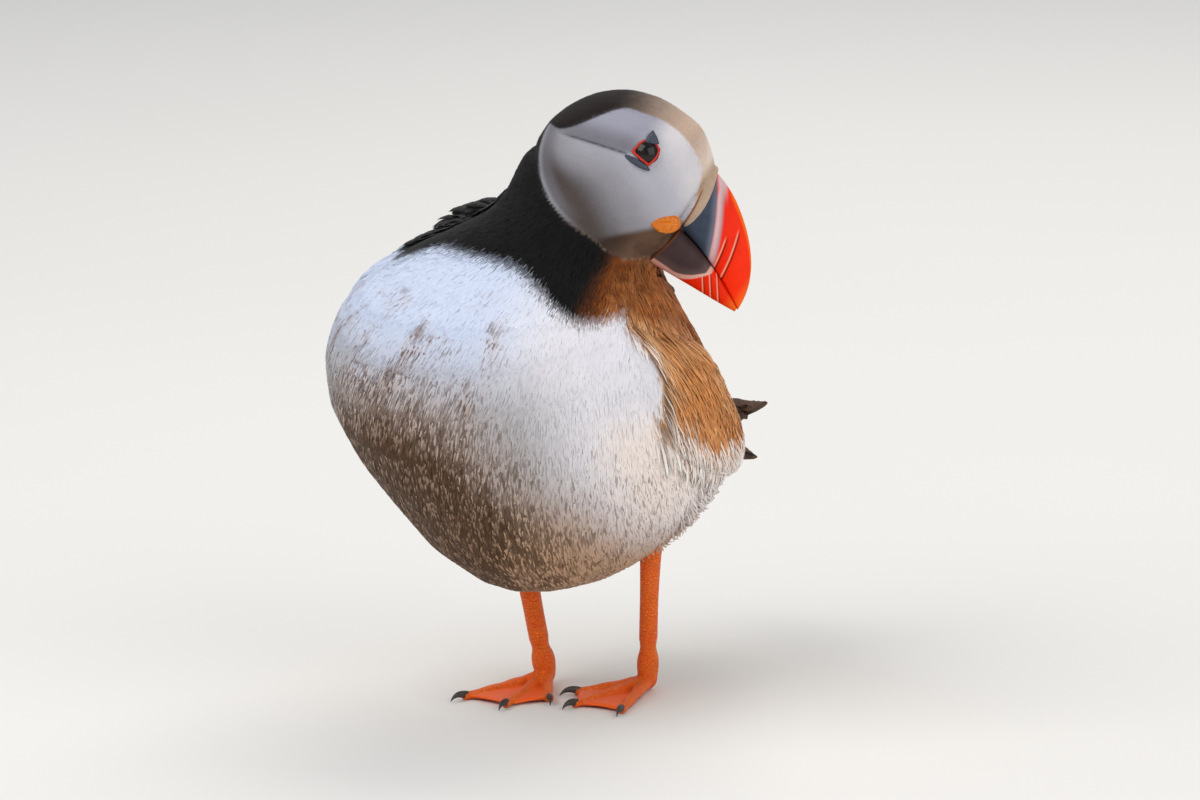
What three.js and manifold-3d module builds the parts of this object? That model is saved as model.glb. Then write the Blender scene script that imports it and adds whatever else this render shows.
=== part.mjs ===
// Atlantic puffin, life size, standing with its head turned over its left shoulder.
// Millimetres, +Z up. The trunk faces -Y, the bird's left is +X, and the soles rest on z = 0.

import * as THREE from 'three';
import { mergeVertices } from 'three/addons/utils/BufferGeometryUtils.js';
import Module from 'manifold-3d';

const wasm = await Module();
wasm.setup();

// ---- Driving dimensions -------------------------------------------------------------------

const GAP = 0.3; // clearance left between neighbouring parts

// Sections of the trunk and neck, from the tail root up to the inside of the head. Each has its
// centre (x, y, z), the degrees that its plane's normal rises towards the head, its half width, and
// its reach towards the belly and towards the back.
const TRUNK_STATIONS = [
  { name: 'tail root', centre: [1, 56, 77], rise: 8, half: 11, belly: 5, back: 6 },
  { name: 'vent', centre: [0, 42, 79], rise: 12, half: 27, belly: 20, back: 14 },
  { name: 'rump', centre: [-3, 20, 85], rise: 20, half: 45, belly: 43, back: 28 },
  { name: 'belly', centre: [-4, -3.5, 93], rise: 34, half: 53.5, belly: 65, back: 39 },
  { name: 'chest', centre: [-6, -22, 107], rise: 52, half: 59.5, belly: 67, back: 43 },
  { name: 'breast', centre: [-11.5, -34, 124], rise: 68, half: 62.5, belly: 65.5, back: 46 },
  { name: 'shoulders', centre: [-11, -36.5, 142], rise: 80, half: 54.5, belly: 55, back: 43 },
  { name: 'neck root', centre: [-4, -33, 157], rise: 86, half: 37.5, belly: 36, back: 33 },
  { name: 'mid neck', centre: [8.5, -28, 169], rise: 90, half: 27, belly: 25.5, back: 25 },
  { name: 'upper neck', centre: [14.5, -25, 180], rise: 90, half: 27, belly: 22.5, back: 23 },
  { name: 'nape', centre: [15.8, -25.5, 189], rise: 90, half: 23, belly: 19, back: 19 },
  { name: 'occiput', centre: [19, -24, 194], rise: 90, half: 15, belly: 13, back: 13 },
];
// Rounded shoulders that stand out of the mantle on each side; the bird hunches its right one.
const SHOULDERS = [
  { centre: [-27, -9, 136.5], halves: [30, 25, 29] },
  { centre: [11, -6, 137], halves: [19, 21, 22] },
];
const NECK_CUT = { z: 158, thickness: GAP, half: 120 }; // level slit that parts the neck from the trunk

// The head's own frame: x forwards to the bill, y to its left, z to its crown.
const HEAD_CENTRE = new THREE.Vector3(26, -22.5, 185.8);
const HEAD_TURN = 32; // degrees from +X towards +Y that the bill points
const HEAD_PITCH = 34; // degrees that the bill is lowered
const HEAD_ROLL = -11; // degrees that the crown leans to the bird's right

// Sections of the head, from the nape to the root of the bill.
const HEAD_STATIONS = [
  { name: 'nape', x: -28.6, crown: -1, chin: -9, half: 4.5 },
  { name: 'back', x: -26.8, crown: 5, chin: -14.5, half: 10 },
  { name: 'ear', x: -21, crown: 14.8, chin: -20.5, half: 16.5 },
  { name: 'cheek', x: -12, crown: 22.2, chin: -25, half: 20.5 },
  { name: 'jaw', x: -2, crown: 25.2, chin: -27, half: 22 },
  { name: 'eye', x: 8, crown: 25.3, chin: -27, half: 20.5 },
  { name: 'forehead', x: 17, crown: 22.8, chin: -25, half: 16 },
  { name: 'bill root', x: 24.7, crown: 16.6, chin: -20.3, half: 10.5 },
];

const BILL = {
  root: 24.7, // where feather meets horn, along the head's x
  tip: 56.7,
  culmenRoot: 16.6, // height of the ridge at the root
  gapeRoot: -8.6,
  gapeTip: -18.2,
  gonysRoot: -20.8,
  gonysTip: -20.6,
  lowerTip: 54.6,
  rootHalf: 8.2, // half thickness at the root
  tipHalf: 1.5,
  ridgeTaper: 0.55, // how much thinner the ridge is than the gape
  cereLength: 3.0,
  cereProud: 0.7,
};

const EYE = { x: 3.6, z: 7.1, radius: 4.2, sunk: 2.5, ring: 3.85, ringThick: 0.6 };
const ROSETTE = { x: 20.6, z: -9.2, length: 5.2, height: 3.7, depth: 1.9 };

const COAT_OF_WING = 3.5; // how far a folded wing stands off the trunk
// Outline of a folded wing seen from the side, as y and z, from the wrist round to the wrist.
const WING_OUTLINE = [
  [-55, 140], [-50, 119], [-38, 98], [-14, 84], [20, 76], [50, 78],
  [62, 86], [46, 103], [22, 124], [-4, 146], [-28, 160], [-47, 156],
];
// The right shoulder is drawn back by this much, as the bird twists to its left.
const WRIST_SHIFT = { left: 0, right: 15 };
const WING_REAR = 50; // y where the shift has died away
// Free end of the wing: the folded primaries, as distance from the midline, y, z and half sizes.
const PRIMARY_STATIONS = [
  { name: 'root', centre: [37, 16, 95], half: 11, thick: 4.2 },
  { name: 'middle', centre: [30.5, 38, 91.5], half: 5.5, thick: 3.2 },
  { name: 'narrow', centre: [25, 61, 89], half: 2.8, thick: 2 },
  { name: 'tip', centre: [21, 78, 86.8], half: 1.4, thick: 1 },
];

const TAIL_STATIONS = [
  { name: 'root', centre: [1, 46, 78], half: 9, thick: 3.6 },
  { name: 'middle', centre: [0.5, 64, 74], half: 13, thick: 3 },
  { name: 'fan', centre: [0, 79, 69.5], half: 15, thick: 1.8 },
  { name: 'tip', centre: [0, 87, 67], half: 9, thick: 0.9 },
];

// Each leg: the ankle's place on the floor, the top of the shank, and the way the middle toe points
// (degrees from -Y, positive towards +X).
const LEGS = [
  { side: 'right', ankle: [-15.1, -6], top: [-20, -15, 56], heading: 10, inner: 25, outer: -29 },
  { side: 'left', ankle: [18.0, 6], top: [23, 1, 64], heading: -12, inner: -27, outer: 29 },
];
const SHANK = { knee: 3.7, middle: 2.7, ankle: 3.1, flat: 0.86, foot: 8.5 };
const TOE = { middle: 36, outer: 35.5, inner: 26, rootRadius: 2.7, tipRadius: 1.55 };
const HEEL = { radius: 3.4 };
const PALM = { ahead: 6, half: 6.2, length: 9.5, height: 3.4 };
const WEB = { thick: 1.2, reach: 0.93, notch: 0.78 };
const CLAW = { length: 6.2, radius: 1.15, drop: 0.6 };

// ---- Materials ----------------------------------------------------------------------------

/** Makes a plain material of one colour. */
function finish(color, roughness) {
  return new THREE.MeshStandardMaterial({ color, roughness, metalness: 0 });
}

const FINISH = {
  blackFeather: () => finish('#1c1512', 0.85),
  brownFeather: () => finish('#5a3a22', 0.85),
  whiteFeather: () => finish('#e3e2e0', 0.9),
  cheekFeather: () => finish('#c2c1c8', 0.9),
  redHorn: () => finish('#e2421b', 0.35),
  greyHorn: () => finish('#55545f', 0.4),
  cere: () => finish('#c9b79a', 0.6),
  rosette: () => finish('#e08a1e', 0.55),
  eye: () => finish('#16161b', 0.08),
  eyeRing: () => finish('#d8371c', 0.5),
  skin: () => finish('#e8511a', 0.5),
  claw: () => finish('#2a2523', 0.4),
};

// ---- Helpers ------------------------------------------------------------------------------

const radians = THREE.MathUtils.degToRad;

/** A smooth curve through one number or several of each station, run by index from 0 to 1. */
function throughStations(stations, pick) {
  const points = stations.map((station) => new THREE.Vector3(...pick(station)));
  return new THREE.CatmullRomCurve3(points, false, 'catmullrom', 0.5);
}

/**
 * Bends a closed cylinder along a curve. section(t) gives the half width along side and the reach
 * ahead and behind along the third axis. Sections stand square to the curve, or to normal(t).
 */
function sweep({ centre, side, section, around, along, normal, spacing = (t) => t }) {
  const geometry = new THREE.CylinderGeometry(1, 1, 1, around, along);
  const position = geometry.getAttribute('position');
  const place = new THREE.Vector3();
  for (let i = 0; i < position.count; i += 1) {
    const t = spacing(THREE.MathUtils.clamp(position.getY(i) + 0.5, 0, 1));
    const { half, ahead, behind } = section(t);
    const tangent = normal ? normal(t) : centre.getTangent(t);
    const width = side.clone().addScaledVector(tangent, -side.dot(tangent)).normalize();
    const third = width.clone().cross(tangent);
    const reach = position.getZ(i);
    place.copy(centre.getPoint(t))
      .addScaledVector(width, position.getX(i) * half)
      .addScaledVector(third, reach * (reach > 0 ? ahead : behind));
    position.setXYZ(i, place.x, place.y, place.z);
  }
  return geometry;
}

/** Turns a closed three.js geometry into a manifold solid. */
function solid(geometry) {
  const bare = geometry.index ? geometry.clone() : geometry;
  bare.deleteAttribute('normal');
  bare.deleteAttribute('uv');
  const merged = mergeVertices(bare, 1e-4);
  const mesh = new wasm.Mesh({
    numProp: 3,
    vertProperties: new Float32Array(merged.getAttribute('position').array),
    triVerts: new Uint32Array(merged.index.array),
  });
  return new wasm.Manifold(mesh);
}

/** Turns a manifold solid into a named mesh with its own material. */
function part(name, body, material) {
  const { vertProperties, triVerts } = body.getMesh();
  const geometry = new THREE.BufferGeometry();
  geometry.setAttribute('position', new THREE.BufferAttribute(new Float32Array(vertProperties), 3));
  geometry.setIndex(new THREE.BufferAttribute(new Uint32Array(triVerts), 1));
  geometry.computeVertexNormals();
  const mesh = new THREE.Mesh(geometry, material);
  mesh.name = name;
  return mesh;
}

/** A box solid with the given centre and full sizes. */
function block(centre, size) {
  return solid(new THREE.BoxGeometry(...size).translate(...centre));
}

/** Joins a list of solids. */
function join(bodies) {
  return bodies.reduce((whole, body) => whole.add(body));
}

// ---- Trunk and neck -----------------------------------------------------------------------

const X_AXIS = new THREE.Vector3(1, 0, 0);
const TRUNK_AROUND = 30;
const TRUNK_ALONG = 25;

/** The trunk and neck in one sweep with the rounded shoulders, grown outwards by extra. */
function trunkSweep(extra) {
  const centre = throughStations(TRUNK_STATIONS, (s) => s.centre);
  const sizes = throughStations(TRUNK_STATIONS, (s) => [s.half, s.belly, s.back]);
  const rises = throughStations(TRUNK_STATIONS, (s) => [s.rise, 0, 0]);
  const shoulders = SHOULDERS.map(({ centre: place, halves }) => solid(
    new THREE.SphereGeometry(1, 20, 12).scale(...halves.map((half) => half + extra)).translate(...place),
  ));
  const body = solid(sweep({
    centre,
    side: X_AXIS,
    normal: (t) => {
      const rise = radians(rises.getPoint(t).x);
      return new THREE.Vector3(0, -Math.cos(rise), Math.sin(rise));
    },
    around: TRUNK_AROUND,
    along: TRUNK_ALONG,
    section: (t) => {
      const { x, y, z } = sizes.getPoint(t);
      return { half: x + extra, ahead: y + extra, behind: z + extra };
    },
  }));
  return join([body, ...shoulders]);
}

// ---- Head ---------------------------------------------------------------------------------

/** The matrix that carries the head's own frame to the bird's. */
function headMatrix() {
  const turn = new THREE.Matrix4().makeRotationZ(radians(HEAD_TURN));
  const pitch = new THREE.Matrix4().makeRotationY(radians(HEAD_PITCH));
  const roll = new THREE.Matrix4().makeRotationX(radians(HEAD_ROLL));
  const place = new THREE.Matrix4().makeTranslation(HEAD_CENTRE);
  return place.multiply(turn).multiply(roll).multiply(pitch);
}

const HEAD_MATRIX = headMatrix();
const HEAD_LEFT = new THREE.Vector3(0, 1, 0);

/** A sweep along the head's x whose sections are given by their top, bottom and half width. */
function headSweep({ start, end, top, bottom, half, around, along, spacing }) {
  const middle = (t) => THREE.MathUtils.lerp(start, end, t);
  const line = new THREE.LineCurve3(new THREE.Vector3(start, 0, 0), new THREE.Vector3(end, 0, 0));
  const geometry = sweep({
    centre: line,
    side: HEAD_LEFT,
    around,
    along,
    spacing,
    section: () => ({ half: 1, ahead: 1, behind: 1 }),
  });
  const position = geometry.getAttribute('position');
  for (let i = 0; i < position.count; i += 1) {
    const x = position.getX(i);
    const t = (x - start) / (end - start);
    const rise = position.getZ(i);
    const centre = (top(middle(t)) + bottom(middle(t))) / 2;
    const reach = (top(middle(t)) - bottom(middle(t))) / 2;
    position.setXYZ(i, x, position.getY(i) * half(x, rise), centre + reach * rise);
  }
  return solid(geometry.applyMatrix4(HEAD_MATRIX));
}

/** Reads a smooth outline of the head's stations at x. */
function headOutline(pick) {
  const points = HEAD_STATIONS.map((s) => new THREE.Vector2(s.x, s[pick]));
  const curve = new THREE.SplineCurve(points);
  const samples = curve.getPoints(160);
  return (x) => {
    const after = samples.findIndex((p) => p.x >= x);
    if (after <= 0) return after === 0 ? samples[0].y : samples[samples.length - 1].y;
    const from = samples[after - 1];
    const to = samples[after];
    return THREE.MathUtils.mapLinear(x, from.x, to.x, from.y, to.y);
  };
}

const HEAD_CROWN = headOutline('crown');
const HEAD_CHIN = headOutline('chin');
const HEAD_HALF = headOutline('half');

/** The feathered head without its bill, grown outwards by extra. */
function headBody(extra) {
  return headSweep({
    start: HEAD_STATIONS[0].x - extra,
    end: BILL.root + extra,
    top: (x) => HEAD_CROWN(x) + extra,
    bottom: (x) => HEAD_CHIN(x) - extra,
    half: (x) => HEAD_HALF(x) + extra,
    around: 26,
    along: 16,
    spacing: (t) => t - 0.055 * Math.sin(2 * Math.PI * t),
  });
}

// ---- Bill ---------------------------------------------------------------------------------

const BILL_LENGTH = BILL.tip - BILL.root;

/** How far along the bill x lies, from 0 at the root to 1 at the tip. */
function billShare(x) {
  return THREE.MathUtils.clamp((x - BILL.root) / BILL_LENGTH, 0, 1);
}

/** Height of the arched ridge. */
function culmen(x) {
  const drop = BILL.culmenRoot - BILL.gapeTip;
  return BILL.gapeTip + drop * (1 - billShare(x) ** 1.9) ** (1 / 1.75);
}

/** Height of the line where the bill opens. */
function gape(x) {
  return THREE.MathUtils.lerp(BILL.gapeRoot, BILL.gapeTip, billShare(x) ** 1.5);
}

/** Half thickness of the bill at x, for a height rise from -1 at the gape to 1 at the ridge. */
function billHalf(x, rise) {
  const side = THREE.MathUtils.lerp(BILL.rootHalf, BILL.tipHalf, billShare(x) ** 0.9);
  return side * (1 - BILL.ridgeTaper * Math.max(0, (rise + 1) / 2) ** 1.3);
}

const easeToTip = (t) => Math.sin((t * Math.PI) / 2);

function makeUpperBill() {
  return headSweep({
    start: BILL.root + BILL.cereLength + GAP,
    end: BILL.tip,
    top: culmen,
    bottom: (x) => gape(x) + GAP / 2,
    half: billHalf,
    around: 18,
    along: 11,
    spacing: easeToTip,
  });
}

function makeLowerBill() {
  const gonys = (x) => THREE.MathUtils.lerp(BILL.gonysRoot, BILL.gonysTip, billShare(x));
  return headSweep({
    start: BILL.root + GAP,
    end: BILL.lowerTip,
    top: (x) => gape(x) - GAP / 2,
    bottom: (x) => Math.min(gonys(x), gape(x) - 0.9),
    half: (x, rise) => billHalf(x, -1) * (1 - 0.35 * Math.max(0, (1 - rise) / 2)),
    around: 16,
    along: 8,
    spacing: easeToTip,
  });
}

function makeCere() {
  return headSweep({
    start: BILL.root + GAP,
    end: BILL.root + BILL.cereLength,
    top: (x) => culmen(x) + BILL.cereProud * 0.6,
    bottom: (x) => gape(x) + GAP / 2,
    half: (x, rise) => billHalf(x, rise) + BILL.cereProud,
    around: 20,
    along: 2,
  });
}

// ---- Face ---------------------------------------------------------------------------------

/** A ball in the head's frame, squashed to three half sizes. */
function headBall(centre, halves, around, rings) {
  const geometry = new THREE.SphereGeometry(1, around, rings).scale(...halves).translate(...centre);
  return solid(geometry.applyMatrix4(HEAD_MATRIX));
}

/** Depth of the head's side surface at a place on its profile. */
function cheekDepth(x, z) {
  const middle = (HEAD_CROWN(x) + HEAD_CHIN(x)) / 2;
  const reach = (HEAD_CROWN(x) - HEAD_CHIN(x)) / 2;
  return HEAD_HALF(x) * Math.sqrt(1 - ((z - middle) / reach) ** 2);
}

function eyeBall(sign, extra) {
  const depth = cheekDepth(EYE.x, EYE.z) - EYE.sunk;
  const radius = EYE.radius + extra;
  return headBall([EYE.x, sign * depth, EYE.z], [radius, radius, radius], 14, 9);
}

function eyeRing(sign, extra) {
  const surface = cheekDepth(EYE.x, EYE.z);
  const lean = Math.asin((EYE.z + 1) / 40);
  const geometry = new THREE.TorusGeometry(EYE.ring, EYE.ringThick + extra, 5, 14)
    .rotateX(Math.PI / 2 + sign * lean)
    .translate(EYE.x, sign * (surface + 0.1), EYE.z);
  return solid(geometry.applyMatrix4(HEAD_MATRIX));
}

function rosette(sign, extra) {
  const surface = cheekDepth(ROSETTE.x, ROSETTE.z) - 0.4;
  const halves = [ROSETTE.length + extra, ROSETTE.depth + extra, ROSETTE.height + extra];
  const geometry = new THREE.SphereGeometry(1, 12, 7)
    .scale(...halves)
    .rotateZ(sign * -0.62)
    .translate(ROSETTE.x, sign * surface, ROSETTE.z);
  return solid(geometry.applyMatrix4(HEAD_MATRIX));
}

// ---- Wings and tail -----------------------------------------------------------------------

/** A flat sweep, wide along side and thin across it. */
function blade(stations, side, sign) {
  const mirrored = (s) => [s.centre[0] * sign, s.centre[1], s.centre[2]];
  const centre = throughStations(stations, mirrored);
  const sizes = throughStations(stations, (s) => [s.half, s.thick, 0]);
  return solid(sweep({
    centre,
    side,
    around: 12,
    along: 6,
    section: (t) => {
      const { x, y } = sizes.getPoint(t);
      return { half: x, ahead: y, behind: y };
    },
  }));
}

/** Everything on one side of the bird that lies inside the wing's outline. */
function wingPrism(sign, wristShift) {
  const span = WING_REAR - WING_OUTLINE[0][0];
  const drawnBack = (y) => y + wristShift * THREE.MathUtils.clamp((WING_REAR - y) / span, 0, 1);
  const outline = new THREE.SplineCurve(
    [...WING_OUTLINE, WING_OUTLINE[0]].map(([y, z]) => new THREE.Vector2(drawnBack(y), z)),
  );
  const shape = new THREE.Shape(outline.getPoints(18).slice(0, -1));
  const depth = 90;
  // The shape's x and y become the bird's y and z, and its depth runs along +X.
  const turn = new THREE.Matrix4().makeBasis(
    new THREE.Vector3(0, 1, 0), new THREE.Vector3(0, 0, 1), new THREE.Vector3(1, 0, 0),
  );
  const geometry = new THREE.ExtrudeGeometry(shape, { depth, bevelEnabled: false }).applyMatrix4(turn);
  geometry.translate(sign > 0 ? 2 : -depth - 12, 0, 0);
  return solid(geometry);
}

function makeWing(sign, wristShift, trunk) {
  const shell = trunkSweep(COAT_OF_WING).intersect(wingPrism(sign, wristShift));
  const primaries = blade(PRIMARY_STATIONS, new THREE.Vector3(-0.55 * sign, 0, 0.83), sign);
  return shell.add(primaries).subtract(trunk);
}

// ---- Legs and feet ------------------------------------------------------------------------

const Z_AXIS = new THREE.Vector3(0, 0, 1);

/** The level direction of a toe that points the given degrees from -Y towards +X. */
function toeDirection(degrees) {
  return new THREE.Vector3(Math.sin(radians(degrees)), -Math.cos(radians(degrees)), 0);
}

/** The three toes of one leg as their names, directions and lengths. */
function toesOf(leg) {
  return ['inner', 'middle', 'outer'].map((name) => ({
    name,
    direction: toeDirection(leg.heading + (name === 'middle' ? 0 : leg[name])),
    length: TOE[name],
  }));
}

function makeShank(leg, extra) {
  const low = new THREE.Vector3(leg.ankle[0], leg.ankle[1], SHANK.foot);
  const high = new THREE.Vector3(...leg.top);
  const radii = throughStations([SHANK.ankle, SHANK.middle, SHANK.middle, SHANK.knee], (r) => [r, 0, 0]);
  return solid(sweep({
    centre: new THREE.LineCurve3(low, high),
    side: toeDirection(leg.heading),
    around: 12,
    along: 6,
    section: (t) => {
      const radius = radii.getPoint(t).x + extra;
      return { half: radius, ahead: radius * SHANK.flat, behind: radius * SHANK.flat };
    },
  }));
}

/** The web between two neighbouring toes: a thin plate with a hollow front edge. */
function makeWeb(ankle, first, second) {
  const tips = [first, second].map((toe) => toe.direction.clone().multiplyScalar(toe.length * WEB.reach));
  const notch = tips[0].clone().add(tips[1]).multiplyScalar(WEB.notch / 2);
  const flat = (v) => new THREE.Vector2(v.x + ankle.x, v.y + ankle.y);
  const shape = new THREE.Shape();
  shape.moveTo(ankle.x, ankle.y);
  shape.lineTo(flat(tips[0]).x, flat(tips[0]).y);
  shape.quadraticCurveTo(flat(notch).x, flat(notch).y, flat(tips[1]).x, flat(tips[1]).y);
  shape.closePath();
  const geometry = new THREE.ExtrudeGeometry(shape, { depth: WEB.thick, bevelEnabled: false, curveSegments: 5 });
  return solid(geometry);
}

function makeToe(ankle, toe) {
  const end = ankle.clone().addScaledVector(toe.direction, toe.length).setZ(TOE.tipRadius * 0.8);
  const bend = ankle.clone().addScaledVector(toe.direction, toe.length * 0.3).setZ(TOE.rootRadius * 0.75);
  const start = ankle.clone().addScaledVector(toe.direction, -1).setZ(SHANK.foot * 0.36);
  return solid(sweep({
    centre: new THREE.QuadraticBezierCurve3(start, bend, end),
    side: Z_AXIS.clone().cross(toe.direction),
    around: 8,
    along: 5,
    section: (t) => {
      const radius = THREE.MathUtils.lerp(TOE.rootRadius, TOE.tipRadius, t);
      return { half: radius, ahead: radius, behind: radius };
    },
  }));
}

function makeFoot(leg) {
  const ankle = new THREE.Vector3(leg.ankle[0], leg.ankle[1], 0);
  const toes = toesOf(leg);
  const heel = new THREE.SphereGeometry(1, 12, 6)
    .scale(HEEL.radius, HEEL.radius * 1.15, SHANK.foot * 0.5)
    .translate(ankle.x, ankle.y, SHANK.foot * 0.5 - GAP);
  const palmCentre = ankle.clone().addScaledVector(toes[1].direction, PALM.ahead);
  const palm = new THREE.SphereGeometry(1, 12, 6)
    .scale(PALM.half, PALM.length, PALM.height)
    .rotateZ(radians(leg.heading))
    .translate(palmCentre.x, palmCentre.y, 0);
  const body = join([
    solid(heel),
    solid(palm),
    ...toes.map((toe) => makeToe(ankle, toe)),
    makeWeb(ankle, toes[0], toes[1]),
    makeWeb(ankle, toes[1], toes[2]),
  ]);
  const floor = block([ankle.x, ankle.y, -20], [160, 160, 40]);
  return body.subtract(floor);
}

function makeClaw(leg, toe) {
  const ankle = new THREE.Vector3(leg.ankle[0], leg.ankle[1], 0);
  const level = TOE.tipRadius * 0.8;
  const start = ankle.clone().addScaledVector(toe.direction, toe.length + GAP).setZ(level + 0.15);
  const bend = ankle.clone().addScaledVector(toe.direction, toe.length + CLAW.length * 0.6).setZ(level + 1.1);
  const end = ankle.clone().addScaledVector(toe.direction, toe.length + CLAW.length).setZ(CLAW.drop);
  return solid(sweep({
    centre: new THREE.QuadraticBezierCurve3(start, bend, end),
    side: Z_AXIS.clone().cross(toe.direction),
    around: 7,
    along: 3,
    section: (t) => {
      const radius = CLAW.radius * (1 - 0.8 * t ** 1.4);
      return { half: radius, ahead: radius, behind: radius };
    },
  }));
}

// ---- Assembly -----------------------------------------------------------------------------

const puffin = new THREE.Group();
const SIDES = [['left', 1], ['right', -1]];

const eyes = SIDES.map(([name, sign]) => ({
  name,
  ball: eyeBall(sign, 0),
  ring: eyeRing(sign, 0).subtract(eyeBall(sign, GAP)),
  rosette: rosette(sign, 0).subtract(headBody(GAP)),
  socket: eyeBall(sign, GAP).add(eyeRing(sign, GAP)),
}));

const head = eyes.reduce((body, eye) => body.subtract(eye.socket), headBody(0));
puffin.add(part('head', head, FINISH.cheekFeather()));
for (const eye of eyes) {
  puffin.add(part(`eye_${eye.name}`, eye.ball, FINISH.eye()));
  puffin.add(part(`eye_ring_${eye.name}`, eye.ring, FINISH.eyeRing()));
  puffin.add(part(`rosette_${eye.name}`, eye.rosette, FINISH.rosette()));
}
puffin.add(part('cere', makeCere(), FINISH.cere()));
puffin.add(part('bill_upper', makeUpperBill(), FINISH.redHorn()));
puffin.add(part('bill_lower', makeLowerBill(), FINISH.greyHorn()));

const cut = [NECK_CUT.half, NECK_CUT.half];
const slit = block([0, 0, NECK_CUT.z], [...cut.map((c) => 2 * c), NECK_CUT.thickness]);
const above = block([0, 0, NECK_CUT.z + NECK_CUT.half], cut.map((c) => 2 * c).concat(2 * NECK_CUT.half));
const wholeTrunk = trunkSweep(0);
const tail = blade(TAIL_STATIONS, X_AXIS, 1).subtract(trunkSweep(GAP));
const neck = wholeTrunk.intersect(above).subtract(slit).subtract(headBody(GAP));
const shanks = LEGS.map((leg) => makeShank(leg, GAP));
const below = wholeTrunk.subtract(above).subtract(slit).subtract(headBody(GAP));
const trunk = shanks.reduce((body, shank) => body.subtract(shank), below);
puffin.add(part('neck', neck, FINISH.blackFeather()));
puffin.add(part('trunk', trunk, FINISH.whiteFeather()));
puffin.add(part('tail', tail, FINISH.blackFeather()));
for (const [name, sign] of SIDES) {
  const wing = makeWing(sign, WRIST_SHIFT[name], trunkSweep(GAP).add(wholeTrunk)).subtract(headBody(GAP));
  puffin.add(part(`wing_${name}`, wing, FINISH.brownFeather()));
}

for (const leg of LEGS) {
  puffin.add(part(`leg_${leg.side}`, makeShank(leg, 0), FINISH.skin()));
  puffin.add(part(`foot_${leg.side}`, makeFoot(leg), FINISH.skin()));
  for (const toe of toesOf(leg)) {
    puffin.add(part(`claw_${leg.side}_${toe.name}`, makeClaw(leg, toe), FINISH.claw()));
  }
}

// The origin is under the middle of the whole bird, on the floor.
const bounds = new THREE.Box3().setFromObject(puffin);
const middle = bounds.getCenter(new THREE.Vector3());
puffin.position.set(-middle.x, -middle.y, -bounds.min.z);

export default puffin;
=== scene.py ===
"""Atlantic puffin, life size: skin, plumage, bill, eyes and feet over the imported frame."""
from __future__ import annotations

import logging
import math
from dataclasses import dataclass
from enum import Enum
from typing import Callable, Sequence

import bmesh
import bpy
import numpy as np
from mathutils import Matrix, Vector, noise
from mathutils.bvhtree import BVHTree


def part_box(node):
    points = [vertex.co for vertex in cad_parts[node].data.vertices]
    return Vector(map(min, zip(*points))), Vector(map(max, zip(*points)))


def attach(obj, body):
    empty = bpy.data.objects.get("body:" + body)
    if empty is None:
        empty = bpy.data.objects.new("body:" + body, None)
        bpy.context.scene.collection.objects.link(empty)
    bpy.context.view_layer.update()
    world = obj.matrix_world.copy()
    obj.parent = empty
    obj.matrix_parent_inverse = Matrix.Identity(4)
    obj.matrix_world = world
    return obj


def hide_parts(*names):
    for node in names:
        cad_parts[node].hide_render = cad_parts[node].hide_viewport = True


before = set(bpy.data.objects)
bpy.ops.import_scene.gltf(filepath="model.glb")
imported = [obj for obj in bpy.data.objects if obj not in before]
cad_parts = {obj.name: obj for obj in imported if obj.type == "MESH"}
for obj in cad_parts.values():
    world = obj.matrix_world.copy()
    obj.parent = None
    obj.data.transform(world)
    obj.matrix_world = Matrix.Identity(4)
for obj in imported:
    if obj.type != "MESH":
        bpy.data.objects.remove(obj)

Array = np.ndarray
log = logging.getLogger("puffin")

MM = 0.001
ROOT_BODY = "root"
SAME_PLACE = 1e-6


# ---- Numbers and colours ---------------------------------------------------------------------

def linear(hex_colour: str) -> Array:
    """Turns a written sRGB colour such as "#e3e2e0" into linear red, green and blue."""
    channels = np.array([int(hex_colour[i:i + 2], 16) / 255 for i in (1, 3, 5)])
    return np.where(channels <= 0.04045, channels / 12.92, ((channels + 0.055) / 1.055) ** 2.4)


def rgba(hex_colour: str) -> tuple[float, float, float, float]:
    """The linear colour with full alpha, as a shader socket takes it."""
    red, green, blue = linear(hex_colour)
    return (float(red), float(green), float(blue), 1.0)


def smooth(values: Array | float, low: float, high: float) -> Array:
    """Rises smoothly from 0 at low to 1 at high; low may be the larger of the two."""
    share = np.clip((np.asarray(values, float) - low) / (high - low), 0, 1)
    return share * share * (3 - 2 * share)


def bell(values: Array, centre: float, width: float) -> Array:
    """A bump of height 1 at centre that has mostly died away at width from it."""
    return np.exp(-((np.asarray(values, float) - centre) / width) ** 2)


def blend(under: Array, over: Array, mask: Array) -> Array:
    """Lays one colour, or one per row, over others where the mask is 1."""
    return under * (1 - mask[:, None]) + over * mask[:, None]


def flat_colour(hex_colour: str, rows: Array) -> Array:
    """One linear colour, repeated for each row of an array."""
    return np.tile(linear(hex_colour), (len(rows), 1))


def painted(under: Array, *layers: tuple[str, Array]) -> Array:
    """Lays written colours over others, one after another, each where its mask is 1."""
    for hex_colour, mask in layers:
        under = blend(under, linear(hex_colour), mask)
    return under


def bent(way: Array, start: Array, handle: Array, end: Array) -> Array:
    """Points on a curve that leaves start, bends towards handle and stops at end."""
    return (start * (1 - way[:, None]) ** 2 + handle * 2 * (way * (1 - way))[:, None]
            + end * way[:, None] ** 2)


def bearing(azimuth: float, elevation: float) -> Vector:
    """The way from the bird to a place at an azimuth and an elevation in degrees."""
    a, e = math.radians(azimuth), math.radians(elevation)
    return Vector((math.sin(a) * math.cos(e), -math.cos(a) * math.cos(e), math.sin(e)))


def unit(vectors: Array) -> Array:
    """Scales each row to length 1."""
    return vectors / np.maximum(np.linalg.norm(vectors, axis=-1, keepdims=True), 1e-12)


def grain(points_mm: Array, scale: float, seed: float) -> Array:
    """Smooth noise from about -1 to 1 at points in millimetres; scale is the size of a blotch."""
    shift = Vector((seed * 13.7, seed * 5.1, seed * 9.3))
    return np.array([noise.noise(Vector(p) / scale + shift) for p in points_mm])


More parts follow.
